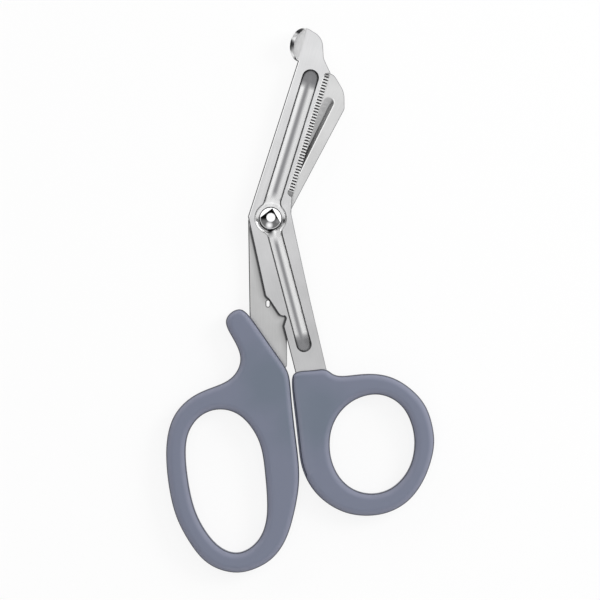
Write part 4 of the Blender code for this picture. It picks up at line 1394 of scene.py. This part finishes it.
screwMesh = turnedMesh("pivotScrewDomed", screwProfile(), pivot["turnSteps"])
fingerMesh = handleMesh("fingerHandleMoulded", fingerHandle)
thumbMesh = handleMesh("thumbHandleMoulded", thumbHandle)
for mesh, material, body, node, slotName, sharpAngle in (
        (screwMesh, screwSteel, "rear_half", "pivot_screw", "pivot_steel", 24),
        (nutMesh("pivotNutHex"), nutSteel, "rear_half", "pivot_nut", "pivot_steel", 25),
        (fingerMesh, plastic, "rear_half", "finger_handle", "handle_plastic", 24),
        (thumbMesh, plastic, "front_half", "thumb_handle", "handle_plastic", 24)):
    mesh.materials.append(material)
    finishPiece(newItem(mesh.name, mesh), body, node, sharpAngle)


# floor, light and camera

studio = {
    "floorColour": "#ffffff",
    "floorShadowShare": 0.14,
    "floorSize": 40.0,        # m
    "floorDrop": 0.2,         # mm below the object
    "roomLight": 0.004,
    "skirting": 0.648,        # below this the room is dark down to the table
    "skirtingShare": 0.02,
    "skirtingBlur": 0.006,
    "horizonHeight": 0.005,
    # name, disc (DISTANCE) or straight screen (DOT_PRODUCT), its place on the mirror ball, where it starts,
    # where it is full, and its strength
    "lights": [
        ("softBox", "DISTANCE", (0.015, 0.055, 0.0), 0.29, 0.25, 1.25),
        ("leftScreen", "DOT_PRODUCT", (-0.60, 0.80, 0.0), 0.425, 0.445, 1.6),
        ("rightScreen", "DOT_PRODUCT", (0.87, 0.493, 0.0), 0.39, 0.41, 1.6),
        ("nearWall", "DOT_PRODUCT", (0.0, -1.0, 0.0), -0.04, 0.2, 0.2),
        ("nearLamp", "DISTANCE", (-0.085, -0.42, 0.0), 0.34, 0.02, 1.25),
        ("rightShelf", "DISTANCE", (0.42, -0.2, 0.0), 0.30, 0.0, 0.32),
        ("horizon", "DISTANCE", (0.0, 0.0, 0.0), 0.595, 0.63, 0.8),
    ],
    "keyEnergy": 2.6,
    "keySize": 0.35,
    "keyPlace": (0.62, 0.28, 0.62),
    "pictureWidth": 208.98,   # mm across the 600 pixel image
    "pictureMiddle": (10.24, -28.46),
    "cameraHeight": 2.0,
    "focusHeight": 6.0,
}


def buildFloor():
    size = studio["floorSize"] / 2 / mm
    corners = [(-size, -size, 0), (size, -size, 0), (size, size, 0), (-size, size, 0)]
    mesh = meshOf("paleTable", corners, [(0, 1, 2, 3)])
    floor = newItem("paleTable", mesh)
    floor.location.z = -studio["floorDrop"] * mm
    material, tree, shader = startMaterial("whiteTableTop")
    # white paper sheet: matt, and shown white to the camera and in reflections while it keeps some shadow
    shader.inputs["Base Color"].default_value = linearColour(studio["floorColour"])
    shader.inputs["Roughness"].default_value = 0.9
    shader.inputs["Specular IOR Level"].default_value = 0.1
    rays = addNode(tree, "ShaderNodeLightPath")
    seen = rays.outputs["Is Camera Ray"]
    for ray in ("Is Glossy Ray", "Is Transmission Ray"):
        seen = addNode(tree, "ShaderNodeMath", {"operation": "MAXIMUM"}, {0: seen, 1: rays.outputs[ray]})
    share = addNode(tree, "ShaderNodeMath", {"operation": "MULTIPLY"}, {
        0: seen, 1: 1 - studio["floorShadowShare"]})
    white = addNode(tree, "ShaderNodeEmission", inputs={"Color": (1, 1, 1, 1), "Strength": 1.0})
    mix = addNode(tree, "ShaderNodeMixShader", inputs={0: share, 1: shader, 2: white})
    tree.links.new(mix.outputs[0], tree.nodes["Material Output"].inputs["Surface"])
    mesh.materials.append(material)
    print("floor ready")


def buildStudioLight():
    # a round soft box overhead, two tall white screens on the far side, a grey wall, a small lamp and a dim
    # shelf on the near side, and a bright rim at the horizon. Each is placed by where it shows on a mirror
    # ball seen from above, from 0 at its middle to 0.71 for the horizon, as the domed screw head shows it
    world = bpy.data.worlds.new("softStudio")
    bpy.context.scene.world = world
    world.use_nodes = True
    tree = world.node_tree
    direction = addNode(tree, "ShaderNodeTexCoord").outputs["Generated"]
    height = addNode(tree, "ShaderNodeSeparateXYZ", inputs={"Vector": direction}).outputs["Z"]
    lift = addNode(tree, "ShaderNodeMath", {"operation": "MULTIPLY_ADD"}, {0: height, 1: 2.0, 2: 2.001})
    shrink = addNode(tree, "ShaderNodeMath", {"operation": "INVERSE_SQRT"}, {0: lift})
    ball = addNode(tree, "ShaderNodeVectorMath", {"operation": "SCALE"}, {
        0: direction, "Scale": shrink})
    ball = addNode(tree, "ShaderNodeVectorMath", {"operation": "MULTIPLY"}, {0: ball, 1: (1, 1, 0)})
    light = studio["roomLight"]
    for name, kind, place, start, full, strength in studio["lights"]:
        reach = addNode(tree, "ShaderNodeVectorMath", {"operation": kind}, {0: ball, 1: place})
        share = addNode(tree, "ShaderNodeMapRange", {"interpolation_type": "SMOOTHSTEP", "label": name}, {
            "Value": reach, "From Min": start, "From Max": full,
            "To Min": 0.0, "To Max": strength})
        light = addNode(tree, "ShaderNodeMath", {"operation": "MAXIMUM"}, {
            0: share, 1: light})
    reach = addNode(tree, "ShaderNodeVectorMath", {"operation": "LENGTH"}, {0: ball})
    skirting = addNode(tree, "ShaderNodeMapRange", inputs={
        "Value": reach, "From Min": studio["skirting"],
        "From Max": studio["skirting"] + studio["skirtingBlur"],
        "To Min": 1.0, "To Max": studio["skirtingShare"]})
    light = addNode(tree, "ShaderNodeMath", {"operation": "MULTIPLY"}, {
        0: light, 1: skirting})
    # the room beyond the floor is as white as the floor, and the metal sees that below the horizon, where the
    # lamps and screens don't hide it
    rays = addNode(tree, "ShaderNodeLightPath")
    below = addNode(tree, "ShaderNodeMath", {"operation": "LESS_THAN"}, {
        0: height, 1: studio["horizonHeight"]})
    mirrored = addNode(tree, "ShaderNodeMath", {"operation": "MULTIPLY"}, {
        0: below, 1: rays.outputs["Is Glossy Ray"]})
    for seen in (mirrored.outputs[0], rays.outputs["Is Camera Ray"], rays.outputs["Is Transmission Ray"]):
        light = addNode(tree, "ShaderNodeMath", {"operation": "MAXIMUM"}, {0: light, 1: seen})
    sky = tree.nodes["Background"]
    tree.links.new(light.outputs[0], sky.inputs["Strength"])
    sky.inputs["Color"].default_value = (1, 1, 1, 1)
    lamp = bpy.data.lights.new("keyLamp", "AREA")
    lamp.energy = studio["keyEnergy"]
    lamp.size = studio["keySize"]
    key = newItem("keyLamp", lamp)
    key.location = studio["keyPlace"]
    key.visible_glossy = False
    key.rotation_euler = (-Vector(studio["keyPlace"])).to_track_quat("-Z", "Y").to_euler()
    print("studio light ready")


def buildCamera():
    # straight down, as in the picture, from far enough for almost no perspective
    data = bpy.data.cameras.new("overheadCamera")
    camera = newItem("overheadCamera", data)
    data.sensor_width = 36.0
    distance = studio["cameraHeight"] - studio["focusHeight"] * mm
    data.lens = data.sensor_width * distance / (studio["pictureWidth"] * mm)
    data.clip_start, data.clip_end = 0.05, 100.0
    x, y = studio["pictureMiddle"]
    camera.location = (x * mm, y * mm, studio["cameraHeight"])
    bpy.context.scene.camera = camera


buildFloor()
buildStudioLight()
buildCamera()
bpy.context.scene.view_settings.view_transform = "Standard"
